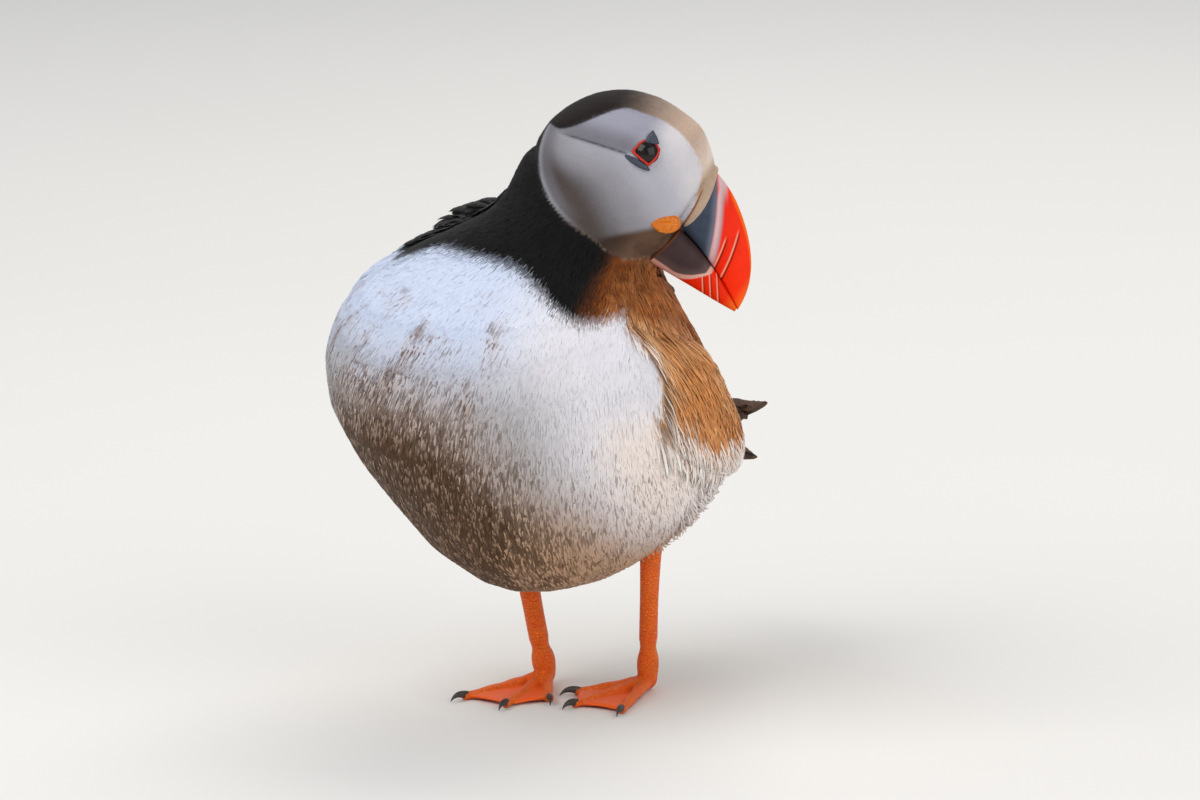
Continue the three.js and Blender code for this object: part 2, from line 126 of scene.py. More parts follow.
# ---- The bird's own places ---------------------------------------------------------------------

@dataclass(frozen=True)
class HeadFrame:
    """The head's own axes: x to the bill, y to its left, z to the crown, in millimetres."""

    turn: float = 32.0
    pitch: float = 34.0
    roll: float = -11.0
    eye_x: float = 3.6
    eye_z: float = 7.1
    place: tuple[float, float, float] = (26.0, -22.5, 185.8)

    def axes(self) -> Array:
        """The 3 x 3 matrix whose columns are the head's axes."""
        turn = Matrix.Rotation(math.radians(self.turn), 3, "Z")
        roll = Matrix.Rotation(math.radians(self.roll), 3, "X")
        pitch = Matrix.Rotation(math.radians(self.pitch), 3, "Y")
        return np.array(turn @ roll @ pitch)

    def centre(self) -> Array:
        """The head's centre in metres, found from the two eyes of the frame."""
        eyes = [np.array(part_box(f"eye_{side}")).mean(axis=0) for side in ("left", "right")]
        between = (eyes[0] + eyes[1]) / 2
        return between - self.axes() @ np.array([self.eye_x, 0, self.eye_z]) * MM

    def inside(self, points: Array) -> Array:
        """Points in metres, told in the head's frame in millimetres."""
        return (points - self.centre()) @ self.axes() / MM

    def outside(self, points_mm: Array) -> Array:
        """Points in the head's frame in millimetres, placed in metres."""
        return self.centre() + (np.asarray(points_mm) * MM) @ self.axes().T

    def bird(self, points: Array) -> Array:
        """Points in metres, told in the bird's working frame in millimetres."""
        return (points - self.centre()) / MM + np.array(self.place)

    def from_bird(self, points_mm: Array) -> Array:
        """Points of the bird's working frame in millimetres, placed in metres."""
        return (np.asarray(points_mm, float) - np.array(self.place)) * MM + self.centre()


HEAD = HeadFrame()


# ---- Shader maths ------------------------------------------------------------------------------

class Num:
    """A number socket that adds Math nodes when it is used in an expression."""

    def __init__(self, paint: "Paint", socket: bpy.types.NodeSocket) -> None:
        """Wraps a socket of the material that paint builds."""
        self.paint = paint
        self.socket = socket

    def maths(self, operation: str, *others: "Num | float") -> "Num":
        """Adds one Math node on this value and up to two others."""
        inputs = {0: self.socket}
        inputs.update({i + 1: getattr(o, "socket", o) for i, o in enumerate(others)})
        node = self.paint.node("ShaderNodeMath", {"operation": operation}, inputs)
        return Num(self.paint, node.outputs[0])

    def __add__(self, other: "Num | float") -> "Num":
        return self.maths("ADD", other)

    __radd__ = __add__

    def __sub__(self, other: "Num | float") -> "Num":
        return self.maths("SUBTRACT", other)

    def __rsub__(self, other: float) -> "Num":
        return (self * -1.0) + other

    def __neg__(self) -> "Num":
        return self * -1.0

    def __mul__(self, other: "Num | float") -> "Num":
        return self.maths("MULTIPLY", other)

    __rmul__ = __mul__

    def __truediv__(self, other: "Num | float") -> "Num":
        return self.maths("DIVIDE", other)

    def absolute(self) -> "Num":
        """The value without its sign."""
        return self.maths("ABSOLUTE")

    def power(self, exponent: float) -> "Num":
        """The value raised to a power."""
        return self.maths("POWER", exponent)

    __pow__ = power

    def sine(self) -> "Num":
        """The sine of the value in radians."""
        return self.maths("SINE")

    def step(self, low: float, high: float) -> "Num":
        """Rises smoothly from 0 at low to 1 at high; low may be the larger of the two."""
        if low > high:
            return 1.0 - self.step(high, low)
        node = self.paint.node(
            "ShaderNodeMapRange", {"interpolation_type": "SMOOTHSTEP"},
            {"Value": self.socket, "From Min": low, "From Max": high})
        return Num(self.paint, node.outputs[0])


class Paint:
    """Builds one node material."""

    def __init__(self, name: str) -> None:
        """Starts an empty material with its output and its main shader."""
        self.material = bpy.data.materials.new(name)
        self.material.use_nodes = True
        self.tree = self.material.node_tree
        self.tree.nodes.clear()
        self.shader = self.node("ShaderNodeBsdfPrincipled", {}, {})
        self.node("ShaderNodeOutputMaterial", {}, {"Surface": self.shader.outputs[0]})

    def node(self, kind: str, settings: dict[str, object], inputs: dict) -> bpy.types.Node:
        """Adds a node.

        Args:
            kind: the node's type.
            settings: its properties, set before its sockets.
            inputs: values or linked sockets by input name or number.

        Returns:
            The new node.
        """
        made = self.tree.nodes.new(kind)
        for key, value in settings.items():
            setattr(made, key, value)
        for key, value in inputs.items():
            self.feed(made.inputs[key], value)
        return made

    def feed(self, socket: bpy.types.NodeSocket, value: object) -> None:
        """Links a number or socket to a socket, or sets a constant on it."""
        value = getattr(value, "socket", value)
        if isinstance(value, bpy.types.NodeSocket):
            self.tree.links.new(value, socket)
        else:
            socket.default_value = value

    def attribute(self, name: str) -> bpy.types.Node:
        """Reads a named attribute of the piece."""
        return self.node("ShaderNodeAttribute", {"attribute_name": name}, {})

    def place(self) -> bpy.types.NodeSocket:
        """The piece's own coordinates, in metres."""
        return self.node("ShaderNodeTexCoord", {}, {}).outputs["Object"]

    def head_place(self) -> tuple[Num, Num, Num]:
        """Coordinates along the head's own axes, in millimetres."""
        back = HEAD.axes().T
        shift = -(back @ HEAD.centre()) / MM
        turn = Matrix(back.tolist()).to_euler("XYZ")
        mapped = self.node("ShaderNodeMapping", {"vector_type": "POINT"}, {
            "Vector": self.place(), "Location": tuple(shift), "Rotation": tuple(turn),
            "Scale": (1 / MM, 1 / MM, 1 / MM)})
        split = self.node("ShaderNodeSeparateXYZ", {}, {0: mapped.outputs[0]})
        return tuple(Num(self, socket) for socket in split.outputs)

    def noise(self, size: float, detail: float = 3.0, stretch: Sequence[float] = (1, 1, 1)) -> Num:
        """Noise from 0 to 1 whose blotches are about size metres, stretched along the axes."""
        scaled = self.node("ShaderNodeMapping", {}, {
            "Vector": self.place(), "Scale": tuple(1 / (size * s) for s in stretch)})
        made = self.node("ShaderNodeTexNoise", {}, {
            "Vector": scaled.outputs[0], "Scale": 1.0, "Detail": detail})
        return Num(self, made.outputs["Fac"])

    def cells(self, size: float, feature: str = "F1") -> Num:
        """Distance in a pattern of small cells, each about size metres across."""
        made = self.node("ShaderNodeTexVoronoi", {"feature": feature}, {
            "Vector": self.place(), "Scale": 1 / size})
        return Num(self, made.outputs["Distance"])

    def mix(self, factor: Num | float, under: object, over: object) -> bpy.types.NodeSocket:
        """Mixes two colours, each a hex string or a socket."""
        pick = [rgba(c) if isinstance(c, str) else c for c in (under, over)]
        made = self.node("ShaderNodeMix", {"data_type": "RGBA"}, {
            "Factor": factor, 6: pick[0], 7: pick[1]})
        return made.outputs[2]

    def scaled(self, colour: bpy.types.NodeSocket, amount: Num) -> bpy.types.NodeSocket:
        """Multiplies a colour by a number."""
        made = self.node("ShaderNodeVectorMath", {"operation": "SCALE"}, {0: colour, "Scale": amount})
        return made.outputs[0]

    def relief(self, height: Num, depth: float, strength: float = 1.0) -> None:
        """Feeds a height from 0 to 1, depth metres deep, to the shader's normal."""
        bump = self.node("ShaderNodeBump", {}, {
            "Height": height, "Distance": depth, "Strength": strength})
        self.tree.links.new(bump.outputs[0], self.shader.inputs["Normal"])

    def dress(self, colour: object, roughness: Num | float, **constants: float) -> bpy.types.Material:
        """Sets the colour and the roughness, and any constant socket of the shader."""
        self.feed(self.shader.inputs["Base Color"], colour)
        self.feed(self.shader.inputs["Roughness"], roughness)
        for key, value in constants.items():
            self.shader.inputs[key.replace("_", " ")].default_value = value
        return self.material


# ---- Finishes ----------------------------------------------------------------------------------

class Slot(Enum):
    """The record's material slots."""

    WHITE = "white_feather"
    BLACK = "black_feather"
    BROWN = "brown_feather"
    CHEEK = "cheek_feather"
    BILL_RED = "bill_red"
    BILL_GREY = "bill_grey"
    CERE = "cere_skin"
    ROSETTE = "rosette_skin"
    EYE = "eye_dark"
    EYE_RING = "eye_ring_skin"
    LEG = "leg_skin"
    CLAW = "claw_horn"


@dataclass(frozen=True)
class PlumageFinish:
    """Feather colour read from the piece's tint, with fine barbs."""

    name: str = "plumage"
    barb: float = 0.0006
    contrast: float = 0.16
    roughness: float = 0.78
    relief: float = 0.00008

    def material(self) -> bpy.types.Material:
        """Builds the material."""
        paint = Paint(self.name)
        tint = paint.attribute("Tint").outputs["Color"]
        fine = paint.noise(self.barb, 4.0)
        blotch = paint.noise(self.barb * 9, 2.0)
        shade = (fine - 0.5) * self.contrast + (blotch - 0.5) * self.contrast * 0.5 + 1.0
        paint.relief(fine, self.relief, 0.5)
        return paint.dress(paint.scaled(tint, shade), self.roughness + fine * 0.12,
                           Sheen_Weight=0.08, Sheen_Roughness=0.5, Specular_IOR_Level=0.2)


@dataclass(frozen=True)
class UpperBillFinish:
    """Slate root, pale band, then grooved red horn with an orange ridge and a yellow tip."""

    name: str = "upper_bill_horn"

    def material(self) -> bpy.types.Material:
        """Builds the material."""
        paint = Paint(self.name)
        x, _, z = paint.head_place()
        rise = Num(paint, paint.attribute("Rise").outputs["Fac"])
        border = BillShape.slate_border(x, z)
        worn = paint.noise(0.0035, 4.0)
        fine = paint.noise(0.0006, 3.0)
        slate = paint.mix(worn, "#2f3747", "#4a5364")
        slate = paint.mix(border.step(-3.0, -0.3) * 0.6, slate, "#7d7f90")
        red = paint.mix(border.step(0.5, 12.0), "#ee2300", "#fb2d00")
        red = paint.mix(worn.step(0.5, 0.8) * 0.4, red, "#d82000")
        red = paint.mix(rise.step(0.8, 0.99) * border.step(3.0, 7.0) * 0.85, red, "#ff7a1e")
        red = paint.mix((x - 54.0).step(0.0, 4.5) * 0.6, red, "#ff7d22")
        for offset, top in zip(BillShape.groove_offsets, BillShape.groove_tops):
            line = BillShape.groove(border, z, offset)
            low = (z - top).step(1.5, -1.5)
            # Painted highlight beside each groove and painted shadow in it, over the grooves cut in the horn.
            red = paint.mix((line + 0.6).absolute().step(0.5, 0.05) * low * 0.7, red, "#ffb795")
            red = paint.mix(line.absolute().step(0.5, 0.12) * low * 0.85, red, "#7a1206")
        middle = z.step(6.0, 14.0)
        wide = (border - 2.2).absolute().step(2.6, 1.2) * middle
        narrow = (border - 1.3 - middle * 0.9).absolute().step(1.9, 0.7) * z.step(-16.0, -9.0)
        band = narrow.maths("MAXIMUM", wide)
        horn = paint.mix((border + worn * 0.5).step(-0.1, 0.5), slate, red)
        pale = paint.mix(border.step(0.6, 2.6) * (1.0 - middle * 0.8), "#d9c2c4", "#b98d92")
        horn = paint.mix(band * (0.8 + fine * 0.2), horn, pale)
        # Painted shadow of the gap between the bill's halves, which touch.
        slit_shadow = (z - BillShape.gape_nodes(x)).absolute().step(0.55, 0.15)
        horn = paint.mix(slit_shadow * (x.step(46.0, 40.0) * 0.55 + 0.25), horn, "#3a120c")
        paint.relief(fine * 0.3 + worn * 0.7, 0.00015, 0.5)
        return paint.dress(horn, 0.3 + worn * 0.2, Specular_IOR_Level=0.13)


@dataclass(frozen=True)
class LowerBillFinish:
    """Dull grey-brown root with a pale hem, then red horn."""

    name: str = "lower_bill_horn"

    def material(self) -> bpy.types.Material:
        """Builds the material."""
        paint = Paint(self.name)
        x, _, z = paint.head_place()
        worn = paint.noise(0.003, 4.0)
        fine = paint.noise(0.0006, 3.0)
        sag = (x - 33.0).maths("MAXIMUM", 0.0).power(2.0) * 0.06
        patch = (z + 20.2 - sag).maths("MINIMUM", 42.6 - x) + worn * 0.4
        root = paint.mix(worn, "#35272a", "#4c3a38")
        root = paint.mix(patch.step(3.5, 0.3) * 0.5, root, "#6f5c58")
        red = paint.mix(worn, "#e01c00", "#f43000")
        red = paint.mix((x - 52.0).step(0.0, 5.0) * 0.6, red, "#ff7d22")
        for place in BillShape.lower_grooves:
            line = x + z * 0.75 - place
            # Painted highlight beside each groove and painted shadow in it, over the grooves cut in the horn.
            red = paint.mix((line + 0.5).absolute().step(0.5, 0.1) * 0.6, red, "#ffb795")
            red = paint.mix(line.absolute().step(0.4, 0.1) * 0.8, red, "#8a1a0d")
        horn = paint.mix(patch.step(-0.3, 0.3), red, root)
        hem = (patch + 0.7).absolute().step(1.1, 0.4) * (0.75 + fine * 0.25)
        horn = paint.mix(hem, horn, "#d8b3a4")
        base = (x - BillShape.base_border_nodes(z)).step(0.55, 0.2)
        horn = paint.mix(base, horn, "#6e3a20")
        # Painted shadow of the gap between the bill's halves, which touch.
        slit_shadow = (z - BillShape.gape_nodes(x)).absolute().step(0.5, 0.15)
        horn = paint.mix(slit_shadow * (x.step(46.0, 40.0) * 0.55 + 0.25), horn, "#3a120c")
        paint.relief(fine * 0.3 + worn * 0.7, 0.00015, 0.5)
        return paint.dress(horn, 0.34 + worn * 0.2, Specular_IOR_Level=0.13)


@dataclass(frozen=True)
class FleshFinish:
    """A bare, pitted or wrinkled skin in two near colours."""

    name: str
    deep: str
    light: str
    grain_size: float = 0.0006
    relief: float = 0.0002
    roughness: float = 0.5

    def material(self) -> bpy.types.Material:
        """Builds the material."""
        paint = Paint(self.name)
        cells = paint.cells(self.grain_size)
        worn = paint.noise(self.grain_size * 4, 3.0)
        colour = paint.mix(cells.step(0.1, 0.7) * 0.6 + worn * 0.4, self.light, self.deep)
        paint.relief(1.0 - cells, self.relief, 0.8)
        return paint.dress(colour, self.roughness + worn * 0.2, Specular_IOR_Level=0.4)


@dataclass(frozen=True)
class CereFinish:
    """Smooth pale skin with fine pits, and an orange-brown line along its rear edge."""

    name: str = "pitted_cere"

    def material(self) -> bpy.types.Material:
        """Builds the material."""
        paint = Paint(self.name)
        x, _, z = paint.head_place()
        worn = paint.noise(0.002, 3.0)
        pits = paint.cells(0.0005)
        colour = paint.mix(worn, "#cbb099", "#a88c74")
        colour = paint.mix(pits.step(0.3, 0.0) * 0.3, colour, "#8d8076")
        high = (z + 2.0).maths("MAXIMUM", 0.0).power(2.0) * BillShape.high_bow
        low = (-6.0 - z).maths("MAXIMUM", 0.0).power(2.0) * BillShape.low_bow
        seam = (x - (BillShape.feather_front - high - low)).step(0.45, 0.1)
        colour = paint.mix(seam * 0.9, colour, "#a4622b")
        paint.relief(1.0 - pits, 0.00008, 0.5)
        return paint.dress(colour, 0.4 + worn * 0.15, Specular_IOR_Level=0.4)


@dataclass(frozen=True)
class LegFinish:
    """Vivid orange-red leg skin: low scutes along shank and toes, granules elsewhere."""

    name: str = "leg_scales"

    def material(self) -> bpy.types.Material:
        """Builds the material; the piece's Scute attribute counts scutes, Web marks the webs."""
        paint = Paint(self.name)
        scute = Num(paint, paint.attribute("Scute").outputs["Fac"])
        web = Num(paint, paint.attribute("Web").outputs["Fac"])
        bend = paint.noise(0.0025, 2.0)
        cut = (scute * (2 * math.pi) + bend * 5.0).sine().step(-1.0, -0.45)
        cut = cut * (1.0 - web) + web
        edge = paint.cells(0.0009, "DISTANCE_TO_EDGE").step(0.0, 0.2)
        edge = edge * (1.0 - web * 0.7) + web * 0.7
        worn = paint.noise(0.005, 4.0)
        fine = paint.noise(0.0011, 3.0)
        colour = paint.mix(worn, "#fa5a0a", "#ff8422")
        colour = paint.mix(web * 0.5, colour, "#f04a08")
        colour = paint.mix((1.0 - edge) * 0.35 * (1.0 - web), colour, "#b32600")
        colour = paint.mix((1.0 - cut) * 0.15, colour, "#b02c06")
        # Painted glints: yellow-orange specks on the scales.
        colour = paint.mix(fine.step(0.55, 0.75) * 0.45 * (1.0 - web), colour, "#ffa048")
        paint.relief(cut * 0.15 + edge * 0.65 + fine * 0.2, 0.0003, 1.0)
        return paint.dress(colour, 0.32 + fine * 0.2, Specular_IOR_Level=0.3)


@dataclass(frozen=True)
class EyeFinish:
    """A wet dark eye: black pupil, very dark brown iris."""

    name: str = "wet_eye"

    def material(self) -> bpy.types.Material:
        """Builds the material; the piece's Rim attribute runs from 0 at the pupil to 1 at the rim."""
        paint = Paint(self.name)
        rim = Num(paint, paint.attribute("Rim").outputs["Fac"])
        fleck = paint.noise(0.0005, 3.0)
        iris = paint.mix(fleck, "#120b08", "#22150f")
        colour = paint.mix(rim.step(0.34, 0.42), "#060606", iris)
        colour = paint.mix(rim.step(0.86, 1.0), colour, "#0b0808")
        return paint.dress(colour, 0.04 + fleck * 0.03, Specular_IOR_Level=0.35)


@dataclass(frozen=True)
class ClawFinish:
    """Dark horn, finely scratched and streaked with a paler grey."""

    name: str = "claw_horn"

    def material(self) -> bpy.types.Material:
        """Builds the material."""
        paint = Paint(self.name)
        streak = paint.noise(0.0008, 4.0)
        colour = paint.mix(streak, "#1c1917", "#4a433e")
        paint.relief(streak, 0.0001, 0.6)
        return paint.dress(colour, 0.32 + streak * 0.25, Specular_IOR_Level=0.5)


# ---- Mesh helpers ------------------------------------------------------------------------------

def grid_surface(shape: Callable[[Array, Array], Array], around: int, along: int) -> bmesh.types.BMesh:
    """Bends a grid into a closed tube or ball.

    Args:
        shape: takes the turn (0 to 1) and the way along (0 to 1) and returns points in metres.
        around: faces round the turn.
        along: faces along the length.

    Returns:
        A closed bmesh with its seam merged, its ends filled and its faces pointing out.
    """
    made = bmesh.new()
    bmesh.ops.create_grid(made, x_segments=around, y_segments=along, size=0.5)
    flat = np.array([v.co for v in made.verts]) + 0.5
    for vertex, place in zip(made.verts, shape(flat[:, 0], flat[:, 1])):
        vertex.co = place
    bmesh.ops.remove_doubles(made, verts=made.verts, dist=SAME_PLACE)
    bmesh.ops.holes_fill(made, edges=[e for e in made.edges if e.is_boundary], sides=0)
    bmesh.ops.recalc_face_normals(made, faces=made.faces)
    return made


def add_piece(name: str, mesh: bpy.types.Mesh, material: bpy.types.Material, slot: Slot,
              replaced: Sequence[str] = ()) -> bpy.types.Object:
    """Makes an object of a mesh, smooth and dressed, riding on the bird."""
    mesh.materials.append(material)
    mesh.polygons.foreach_set("use_smooth", np.ones(len(mesh.polygons), bool))
    piece = bpy.data.objects.new(name, mesh)
    bpy.context.collection.objects.link(piece)
    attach(piece, ROOT_BODY)
    if replaced:
        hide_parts(*replaced)
    log.info("%s: %d faces", name, len(mesh.polygons))
    return piece


def as_mesh(name: str, made: bmesh.types.BMesh) -> bpy.types.Mesh:
    """Empties a bmesh into a new mesh."""
    mesh = bpy.data.meshes.new(name)
    made.to_mesh(mesh)
    made.free()
    return mesh


def write_attribute(mesh: bpy.types.Mesh, name: str, values: Array) -> None:
    """Stores one number, or one colour, per vertex."""
    if values.ndim == 1:
        layer = mesh.attributes.new(name, "FLOAT", "POINT")
        layer.data.foreach_set("value", values.astype(np.float32))
        return
    layer = mesh.color_attributes.new(name, "FLOAT_COLOR", "POINT")
    colours = np.concatenate([values, np.ones((len(values), 1))], axis=1)
    layer.data.foreach_set("color", colours.astype(np.float32).ravel())


def vertices_of(mesh: bpy.types.Mesh) -> Array:
    """The mesh's points, one row each."""
    flat = np.empty(len(mesh.vertices) * 3, np.float32)
    mesh.vertices.foreach_get("co", flat)
    return flat.reshape(-1, 3).astype(float)


def normals_of(mesh: bpy.types.Mesh) -> Array:
    """The normals of the mesh's points, one row each."""
    flat = np.empty(len(mesh.vertices) * 3, np.float32)
    mesh.vertex_normals.foreach_get("vector", flat)
    return flat.reshape(-1, 3).astype(float)


def move_vertices(mesh: bpy.types.Mesh, points: Array) -> None:
    """Puts the mesh's points at new places."""
    mesh.vertices.foreach_set("co", points.astype(np.float32).ravel())


def evaluated(piece: bpy.types.Object) -> bpy.types.Mesh:
    """The piece's mesh with its modifiers applied."""
    graph = bpy.context.evaluated_depsgraph_get()
    return bpy.data.meshes.new_from_object(piece.evaluated_get(graph))


# ---- Markings ----------------------------------------------------------------------------------

@dataclass(frozen=True)
class Markings:
    """Where each colour of the plumage lies; skin and feathers both read it."""

    breast: str = "#cdd7ed"
    # Painted light on the white breast: brighter towards the bird's left side, and warm low on that side.
    breast_lit_warm: str = "#fbf0ea"
    breast_lit_front: str = "#eae8ef"
    # Painted shade on the white breast: grey on the lower breast and at the far right edge.
    breast_shade: str = "#a9a6a7"
    breast_far_shade: str = "#a5abb0"
    belly: str = "#ba9474"
    # A dark stained brown; its depth also carries painted shade on the lower right breast.
    stain_and_shade: str = "#43290d"
    collar: str = "#080606"
    collar_warm: str = "#85440f"
    collar_edge: str = "#c08048"
    mantle: str = "#15100f"
    wing: str = "#935020"
    wing_light: str = "#cb8a4c"
    flank: str = "#d38c4e"
    flank_pale: str = "#efc291"
    flank_deep: str = "#8a4f26"
    flank_grey: str = "#a07a58"
    # The face's greys from the pale lores to the dark lower rear cheek: partly the rear cheek's real grey,
    # partly painted shade on its rounded side.
    cheek_front: str = "#b9b9c4"
    cheek: str = "#96949b"
    cheek_grey_and_shade: str = "#4f4643"
    ear: str = "#9c9baa"
    cap: str = "#1d1412"
    cap_front: str = "#cbb19f"
    # Pale tan at the front of the crown next to the bill, with a painted highlight along its top edge.
    forehead_pale_and_highlight: str = "#ead8ca"
    cap_root: str = "#b79a80"
    lores: str = "#dedade"
    brow: str = "#77757e"
    muzzle: str = "#6c5241"
    chin: str = "#33261f"
    rim: str = "#9a9aa0"
    # Painted shadow in the crease behind the eye.
    furrow: str = "#4c464b"

    def collar_height(self, x: Array) -> Array:
        """Height of the black collar's lower border at x; the throat pulls it down on the left."""
        return 158.7 - 18.5 * bell(x, 37.0, 19.0) - 8.0 * smooth(x, -20.0, -50.0)

    @staticmethod
    def right_share(x: Array) -> Array:
        """0 on the bird's left and middle, rising to 1 on its right."""
        return smooth(x, -5.0, -20.0)

    def side_front(self, z: Array, right: Array) -> Array:
        """The y at which the brown side begins, at height z; the right side is drawn back."""
        front = -41.8 - 9.4 * smooth(z, 119.0, 141.0) + 1.2 * np.clip(z - 139.0, 0, 22)
        return front + right * (23.0 - 1.6 * np.clip(z - 139.0, 0, 12))

    def side_foot(self, y: Array) -> Array:
        """Height of the lower border of the brown side, at y."""
        return 103.5 - 19.0 * smooth(y, -52.0, 0.0) - 7.0 * smooth(y, 20.0, 60.0)

    def wing_foot(self, y: Array) -> Array:
        """Height of the border between the soft flank below and the wing above."""
        return (136.0 - 0.35 * (y + 45.0) - 14.0 * smooth(y, -14.0, 10.0)
                - 0.25 * np.clip(y - 5.0, 0, 60))

    def cap_height(self, x: Array) -> Array:
        """Height of the cap's lower border on the head, at the head's x."""
        rear = 3.2 * smooth(x, 5.0, -12.0) + 18.4 * smooth(x, -7.6, -25.4)
        return 18.9 - rear - 0.021 * np.clip(x - 6.0, 0, 30) ** 2

    def side_mask(self, bird: Array, edge: float) -> Array:
        """1 on the wings, back and flanks."""
        x, y, z = bird.T
        return (smooth(y - self.side_front(z, self.right_share(x)), -edge, edge)
                * smooth(z - self.side_foot(y), -edge, edge) * smooth(z, 172.0, 162.0))

    def dark_mask(self, bird: Array, edge: float) -> Array:
        """1 on the neck, collar and mantle."""
        x, y, z = bird.T
        front = smooth(z - self.collar_height(x), -edge, edge)
        back = smooth(y, -38.0, -24.0)
        raised = 17.0 * smooth(x, 8.0, 20.0) * self.side_mask(bird, edge)
        return np.clip(front * (1 - back) + smooth(z - raised, 138.0, 146.0) * back, 0, 1)

    def stain_and_shade_share(self, bird: Array) -> Array:
        """Share of the belly's tufts with a stained tip; in the dense core the dark brown also stands for
        painted shade.
        """
        x, y, z = bird.T
        band = smooth(z, 137.0, 92.0) * smooth(x + 0.25 * (z - 88.0), 36.0, -8.0)
        band = band * smooth(x, -62.0, -44.0)
        band = band * (1.0 - 0.4 * smooth(z, 68.0, 50.0) * smooth(x, -15.0, 10.0))
        clump = grain(bird, 11.0, 1.0) * 0.6 + grain(bird, 4.5, 2.0) * 0.55
        low = band * (1.0 + 0.9 * clump * (1.15 - band)) * smooth(y, -12.0, -34.0)
        faint = 0.16 * smooth(z, 112.0, 70.0) * smooth(z, 38.0, 50.0) * smooth(y, -5.0, -30.0)
        high = smooth(z, 108.0, 118.0) * smooth(z, 150.0, 140.0) * smooth(x, 22.0, 8.0)
        spots = smooth(clump, 0.16, 0.42) * 0.6 * high * smooth(y, -50.0, -62.0)
        return np.clip(low + faint + spots, 0, 1)

    @staticmethod
    def face_reach(head: Array) -> Array:
        """Distance from the middle of the face in the profile, 1 at the face's rear border."""
        x, _, z = head.T
        chin = 1.0 + 0.2 * smooth(x, 3.0, 18.0) * smooth(z, -12.0, -20.0)
        return np.hypot((x + 1.0) / 27.6, (z + 0.8) / 26.0) / chin

    @staticmethod
    def nape_half(x: Array, z: Array) -> Array:
        """Half width of the dark stripe down the back of the head."""
        return 7.0 - 3.5 * bell(z, 0.0, 7.0) * smooth(x, -15.0, -22.0)

    def fine_share(self, bird: Array, head: Array) -> Array:
        """1 beside the edges of face, cap and collar and round the bill, where tufts are shortest."""
        x, y, z = head.T
        rim = bell(self.face_reach(head), 0.985, 0.08)
        nape = bell(np.abs(y) - self.nape_half(x, z), 0.0, 2.5) * smooth(x, -8.0, -14.0)
        cap = bell(z - self.cap_height(x), 0.0, 2.0)
        lores = smooth(x, 8.0, 21.0)
        on_head = smooth(head_reach(head), 33.5, 30.5)
        collar = bell(bird[:, 2] - self.collar_height(bird[:, 0]), 1.0, 4.5)
        collar = collar * smooth(bird[:, 1], -20.0, -30.0)
        return np.maximum(np.maximum.reduce([rim, nape, cap, lores]) * on_head, collar * 0.7)

    def head_colours(self, head: Array) -> tuple[Array, Array]:
        """Colours on the head, and the mask of where the pale face shows."""
        x, y, z = head.T
        side = np.abs(y)
        # Painted shade: the face darkens towards the rear and below, over the real grey of the rear cheek.
        shade_slope = 0.5 * x + 0.85 * z + 9.0 * bell(np.hypot(x + 18.0, z + 6.0), 0.0, 10.0)
        pale = painted(flat_colour(self.cheek_grey_and_shade, head),
                       (self.cheek, smooth(shade_slope, -18.5, -6.0)),
                       (self.cheek_front, smooth(shade_slope, -8.0, 7.0)),
                       (self.lores, smooth(shade_slope, 6.0, 20.0)))
        crease = 3.4 + 0.29 * x
        above = smooth(z - crease, -0.5, 1.0) * smooth(x, 8.0, -2.0)
        temple = painted(flat_colour(self.brow, head), (self.ear, smooth(z - crease, 2.0, 9.0)))
        pale = blend(pale, temple, above * (0.95 - 0.4 * smooth(x, -19.0, -26.0)))
        # Painted shadow along the crease behind the eye, over the furrow that the skin also has.
        line = bell(z - crease, -0.15, 0.42) * smooth(x, 0.0, -2.0) * smooth(x, -25.0, -19.0)
        pale = painted(pale, (self.furrow, line * 0.75))
        reach = self.face_reach(head)
        # Painted shade on the rear and lower cheek, inside the face's border.
        hem = smooth(reach, 0.76, 0.9) * smooth(x, 0.0, -12.0) * smooth(z, 4.0, -4.0)
        pale = painted(pale, (self.brow, hem * 0.6))
        muzzle = smooth(z - x, -30.5, -34.0) * smooth(x, 4.0, 10.0)
        deep = painted(flat_colour(self.muzzle, head), (self.chin, smooth(x, 21.0, 9.0) * 0.9))
        pale = blend(pale, deep, muzzle)
        rim = bell(reach, 0.97, 0.03) * smooth(x, 4.0, -12.0) * smooth(z, 8.0, 2.0)
        pale = painted(pale, (self.rim, rim * 0.75))
        nape = self.nape_half(x, z)
        face = smooth(side - nape, -0.6, 0.6) + smooth(x, 12.0, 18.0) * smooth(z, -4.0, -8.0)
        face = np.clip(face, 0, 1) * smooth(reach, 1.005, 0.98)
        face = np.maximum(face, smooth(x, 17.0, 21.0) * smooth(z, 6.0, 2.0) * smooth(z, -22.5, -21.0))
        face = face * smooth(z - self.cap_height(x), 0.4, -0.4)
        ridge = smooth(x, 15.0, 19.0) * smooth(side, 4.5, 1.5)
        cap = painted(flat_colour(self.cap, head),
                      (self.cap_front, smooth(x, -14.0, 13.0)),
                      # Painted highlight along the crown's top ridge next to the bill, over the pale tan
                      # there.
                      (self.forehead_pale_and_highlight, np.maximum(smooth(x, 14.0, 22.5), ridge) * 0.85),
                      (self.cap_root, smooth(x, 22.5, 25.5) * 0.85))
        return blend(cap, pale, face), face

